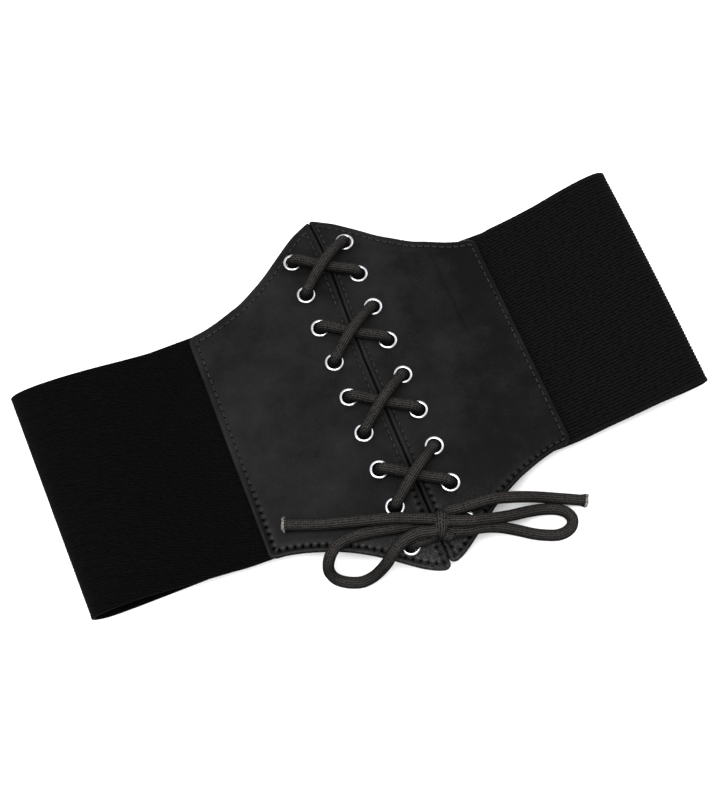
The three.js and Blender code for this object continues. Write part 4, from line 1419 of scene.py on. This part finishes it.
band = {
    "length": 265.6,
    "width": 100.0,
    "wall": 1.5,
    "rise": 12.0,
    "leftSlant": 4.7,
    "rightSlant": 0.8,
    "tuck": 11.0,
    "clearance": 4.3,
    "selvedge": 2.2,
    "ribPitch": 1.39,
    "ribDepth": 0.26,
    "ribDrift": 0.3,
    "slackHeight": 0.7,  # the ribs tend to this height where the elastic is slack
    "slackShare": (0.6, 0.15),  # how much of the way they go there, and how much this varies
    "edgeRib": 0.2,
    "edgeRoll": 0.35,
    "wobbleWaves": 5,
    "wobbleAlong": (5, 13),  # mm that the waves of a wobble may be long
    "wobbleAcross": (7, 18),
    "rowStep": 2.5,
    "dashPitch": 1.15,
    "dashSlant": 0.42,
    "foldFullness": (0.6, 0.4),  # the right fold stands out by this at its ends, and more in its middle
    "foldFrom": (112.0, 131.0),
    "slackOver": (30.0, 70.0),  # to the left of the middle the elastic goes slack over this stretch
    "dashOver": (-132.0, -70.0),
}

# Each station of a fold: how far out from the panel's edge, which layer from the back (0) to the
# front (1), how far the lower and the upper edge are lifted, the fold's slant, and the middle and
# the width of the elastic as shares of its full width
rightLoop = [
    (0, 1, 0, 0, 0, -0.01, 1), (0.12, 1, 0.03, 0.04, 0, -0.002, 1.01),
    (0.25, 1, 0.12, 0.17, 0, 0.002, 1.008), (0.45, 1, 0.25, 0.48, 0, 0.006, 1.006),
    (0.65, 1, 0.39, 0.79, 0.1, 0.014, 1.01), (0.82, 1, 0.46, 0.95, 0.3, 0.024, 1.01),
    (0.93, 0.9, 0.43, 0.91, 0.7, 0.033, 1.012), (0.985, 0.7, 0.35, 0.76, 0.9, 0.039, 1.013),
    (1, 0.5, 0.32, 0.68, 1, 0.041, 1.013), (0.985, 0.35, 0.2, 0.5, 0.9, 0.042, 1.012),
    (0.93, 0.17, 0.13, 0.34, 0.7, 0.042, 1.01), (0.8, 0.06, 0.04, 0.13, 0.3, 0.04, 1.006),
    (0.6, 0, 0, 0, 0, 0.037, 1.002), (0, 0, 0, 0, 0, 0.029, 0.996),
]
leftLoop = [
    (0, 1, 0, 0, 0, -0.019, 0.995), (0.12, 1, 0.03, 0.03, 0, -0.019, 0.992),
    (0.22, 1, 0.1, 0.1, 0, -0.018, 0.985), (0.4, 1, 0.3, 0.3, 0.1, -0.017, 0.98),
    (0.56, 1, 0.5, 0.5, 0.2, -0.015, 0.975), (0.73, 1, 0.61, 0.61, 0.4, -0.012, 0.972),
    (0.86, 1, 0.54, 0.54, 0.65, -0.008, 0.975), (0.95, 0.9, 0.4, 0.4, 0.85, -0.003, 0.978),
    (0.99, 0.7, 0.27, 0.27, 0.95, 0.001, 0.98), (1, 0.45, 0.17, 0.17, 1, 0.003, 0.98),
    (0.98, 0.24, 0.09, 0.09, 0.95, 0.004, 0.982), (0.92, 0.08, 0.03, 0.03, 0.8, 0.004, 0.984),
    (0.8, 0, 0, 0, 0.5, 0.005, 0.986), (0.55, 0, 0, 0, 0.1, 0.008, 0.99),
    (0, 0, 0, 0, 0, 0.015, 0.995),
]


def loopEdges(table, side, slant):
    # Lower and upper edge of the wall's middle line, from under the panel round to the back
    start = beltX(side, panel["width"])
    fold = side * (band["length"] / 2 - band["wall"] / 2 - slant / 2)
    bottom = band["wall"] / 2
    top = 1.5 * band["wall"] + band["clearance"]
    rows = []
    for out, layer, low, high, lean, middle, width in table:
        row = []
        for edge, lift in ((-1, low), (1, high)):
            row += [
                start + (fold - start) * out + side * edge * lean * slant / 2,
                band["width"] * (middle + edge * width / 2),
                bottom + (top - bottom) * layer + lift * band["rise"],
            ]
        rows.append(row)
    tucked = np.array(rows[0]) - side * band["tuck"] * np.array([1, 0, 0, 1, 0, 0])
    return [tucked, *map(np.array, rows)]


def wobble(along, y, seed):
    # Slow wave of about -1 to 1
    draw = np.random.default_rng(seed)
    total = np.zeros(np.broadcast(along, y).shape)
    for _ in range(band["wobbleWaves"]):
        reachAlong, reachAcross = draw.uniform(*band["wobbleAlong"]), draw.uniform(*band["wobbleAcross"])
        total += np.sin(2 * math.pi * (along / reachAlong + y / reachAcross * draw.choice([-1, 1]))
                        + draw.uniform(0, 6.3))
    return total / 3


def makeElastic():
    stations = np.array([
        *loopEdges(rightLoop, 1, band["rightSlant"]),
        *loopEdges(leftLoop, -1, band["leftSlant"])[::-1],
    ])
    middles = (stations[:, :3] + stations[:, 3:]) / 2
    spans = np.linalg.norm(np.diff(middles, axis=0), axis=1)
    edges = smoothThrough(stations, [max(2, math.ceil(span / band["rowStep"])) for span in spans])
    lower, upper = edges[:, :3], edges[:, 3:]
    middle = (lower + upper) / 2
    along = lengthsAlong(middle)
    outward = unit(np.cross(np.gradient(middle, axis=0), upper - lower))
    # Columns: a flat selvedge along each edge, then three points for each rib
    ribs = round((band["width"] - 2 * band["selvedge"]) / band["ribPitch"])
    edgeColumns = np.array([0, 0.2, 0.7, 1.3, 1.8])
    ribColumns = np.linspace(band["selvedge"], band["width"] - band["selvedge"], 3 * ribs + 1)
    columns = np.concatenate([edgeColumns, ribColumns, band["width"] - edgeColumns[::-1]])
    raised = np.ones(len(columns))
    raised[len(edgeColumns) : -len(edgeColumns) : 3] = 0
    raised[0] = raised[-1] = band["edgeRib"]
    across = np.repeat(columns[None, :], len(along), axis=0)
    slack = easedStep(-middle[:, 0], *band["slackOver"])[:, None] * np.ones_like(across)
    inner = (across > band["selvedge"]) & (across < band["width"] - band["selvedge"])
    # Slack elastic: its ribs wander and lie flatter, and its dashes slant more towards the panel
    slant = band["dashSlant"] * easedStep(middle[:, 0], *band["dashOver"])
    drift = np.concatenate([[0.0], np.cumsum(slant[1:] * np.diff(along))])
    dashes = (across + drift[:, None]) / band["dashPitch"]
    shift = band["ribDrift"] * slack * wobble(along[:, None], across, 3)
    even, varied = band["slackShare"]
    flattened = even * slack + varied * slack * wobble(along[:, None], across, 5)
    heights = np.where(inner, raised + (band["slackHeight"] - raised) * flattened, raised[None, :])
    share = (across + np.where(inner, shift, 0)) / band["width"]
    surface = lower[:, None, :] + (upper - lower)[:, None, :] * share[:, :, None]
    fullness = band["foldFullness"][0] + band["foldFullness"][1] * 4 * share * (1 - share)
    surface[:, :, 0] += fullness * easedStep(surface[:, :, 0], *band["foldFrom"])
    roll = np.zeros_like(heights)
    roll[:, [0, -1]] = band["edgeRoll"]
    offset = band["wall"] / 2 - band["ribDepth"] * (1 - heights) - roll
    front = surface + outward[:, None, :] * offset[:, :, None]
    back = surface - outward[:, None, :] * offset[:, :, None]
    rows, count = across.shape
    index = np.arange(rows * count).reshape(rows, count)
    quads = np.stack([index[:-1, :-1], index[1:, :-1], index[1:, 1:], index[:-1, 1:]], axis=-1)
    quads = quads.reshape(-1, 4)
    total = rows * count
    outline = np.concatenate([index[0, :], index[1:, -1], index[-1, -2::-1], index[-2:0:-1, 0]])
    walls = [
        (a, b, b + total, a + total) for a, b in zip(outline.tolist(), np.roll(outline, -1).tolist())
    ]
    faces = quads.tolist() + (quads[:, ::-1] + total).tolist() + walls
    points = np.concatenate([front.reshape(-1, 3), back.reshape(-1, 3)])
    points[:, 2] = np.maximum(points[:, 2], 0)
    attributes = {
        "rib": np.tile(heights.ravel(), 2),
        "slack": np.tile(slack.ravel(), 2),
        "clothAlong": np.tile(np.repeat(along, count), 2),
        "clothAcross": np.tile(across.ravel(), 2),
        "dashPhase": np.tile(dashes.ravel(), 2),
    }
    piece = makePiece("elasticWaistband", points, faces, [wovenElastic],
                      ["elastic_band"], attributes=attributes)


makeElastic()
print("elastic woven")

studio = {
    "paper": "#fdfdfd",
    "pulpSize": 3.0,
    "skyColour": "#ffffff",
    "skyStrength": 0.95,
    "lights": [
        # name, position in metres, size, watts
        ("softboxTop", (-0.12, -0.10, 1.25), 0.7, 12.0),
        ("softboxLeft", (-1.00, -0.15, 0.85), 0.8, 10.0),
        ("softboxRight", (0.95, 0.30, 0.80), 0.8, 3.0),
        ("softboxFront", (0.10, -1.00, 0.70), 0.7, 4.0),
    ],
}


def makeStudio():
    # Seamless paper: white, matt, with a trace of pulp
    material, tree, shader = newMaterial("seamlessPaper")
    place = addNode(tree, "ShaderNodeTexCoord").outputs["Object"]
    pulp = addNode(tree, "ShaderNodeTexNoise", {
        "Vector": place, "Scale": perSize(studio["pulpSize"]), "Detail": 2.0,
    }).outputs["Fac"]
    bump = addNode(tree, "ShaderNodeBump", {"Height": pulp, "Strength": 0.05, "Distance": 0.05 * mm})
    tree.links.new(bump.outputs["Normal"], shader.inputs["Normal"])
    shader.inputs["Base Color"].default_value = linearColour(studio["paper"])
    shader.inputs["Roughness"].default_value = 0.95
    shader.inputs["Specular IOR Level"].default_value = 0.1
    mesh = bpy.data.meshes.new("paperFloor")
    reach, level = 6.0, -0.00005
    mesh.from_pydata(
        [(-reach, -reach, level), (reach, -reach, level), (reach, reach, level), (-reach, reach, level)],
        [], [(0, 1, 2, 3)],
    )
    mesh.materials.append(material)
    floor = bpy.data.objects.new("paperFloor", mesh)
    bpy.context.scene.collection.objects.link(floor)
    for name, position, size, watts in studio["lights"]:
        data = bpy.data.lights.new(name, "AREA")
        data.shape = "SQUARE"
        data.size = size
        data.energy = watts
        light = bpy.data.objects.new(name, data)
        light.location = position
        light.rotation_euler = (-Vector(position)).to_track_quat("-Z", "Y").to_euler()
        bpy.context.scene.collection.objects.link(light)
    world = bpy.data.worlds.new("studioSky")
    world.use_nodes = True
    backdrop = world.node_tree.nodes["Background"]
    backdrop.inputs["Color"].default_value = linearColour(studio["skyColour"])
    backdrop.inputs["Strength"].default_value = studio["skyStrength"]
    bpy.context.scene.world = world
    bpy.context.scene.view_settings.view_transform = "Standard"
    bpy.context.scene.view_settings.look = "None"


makeStudio()
print("studio lit")
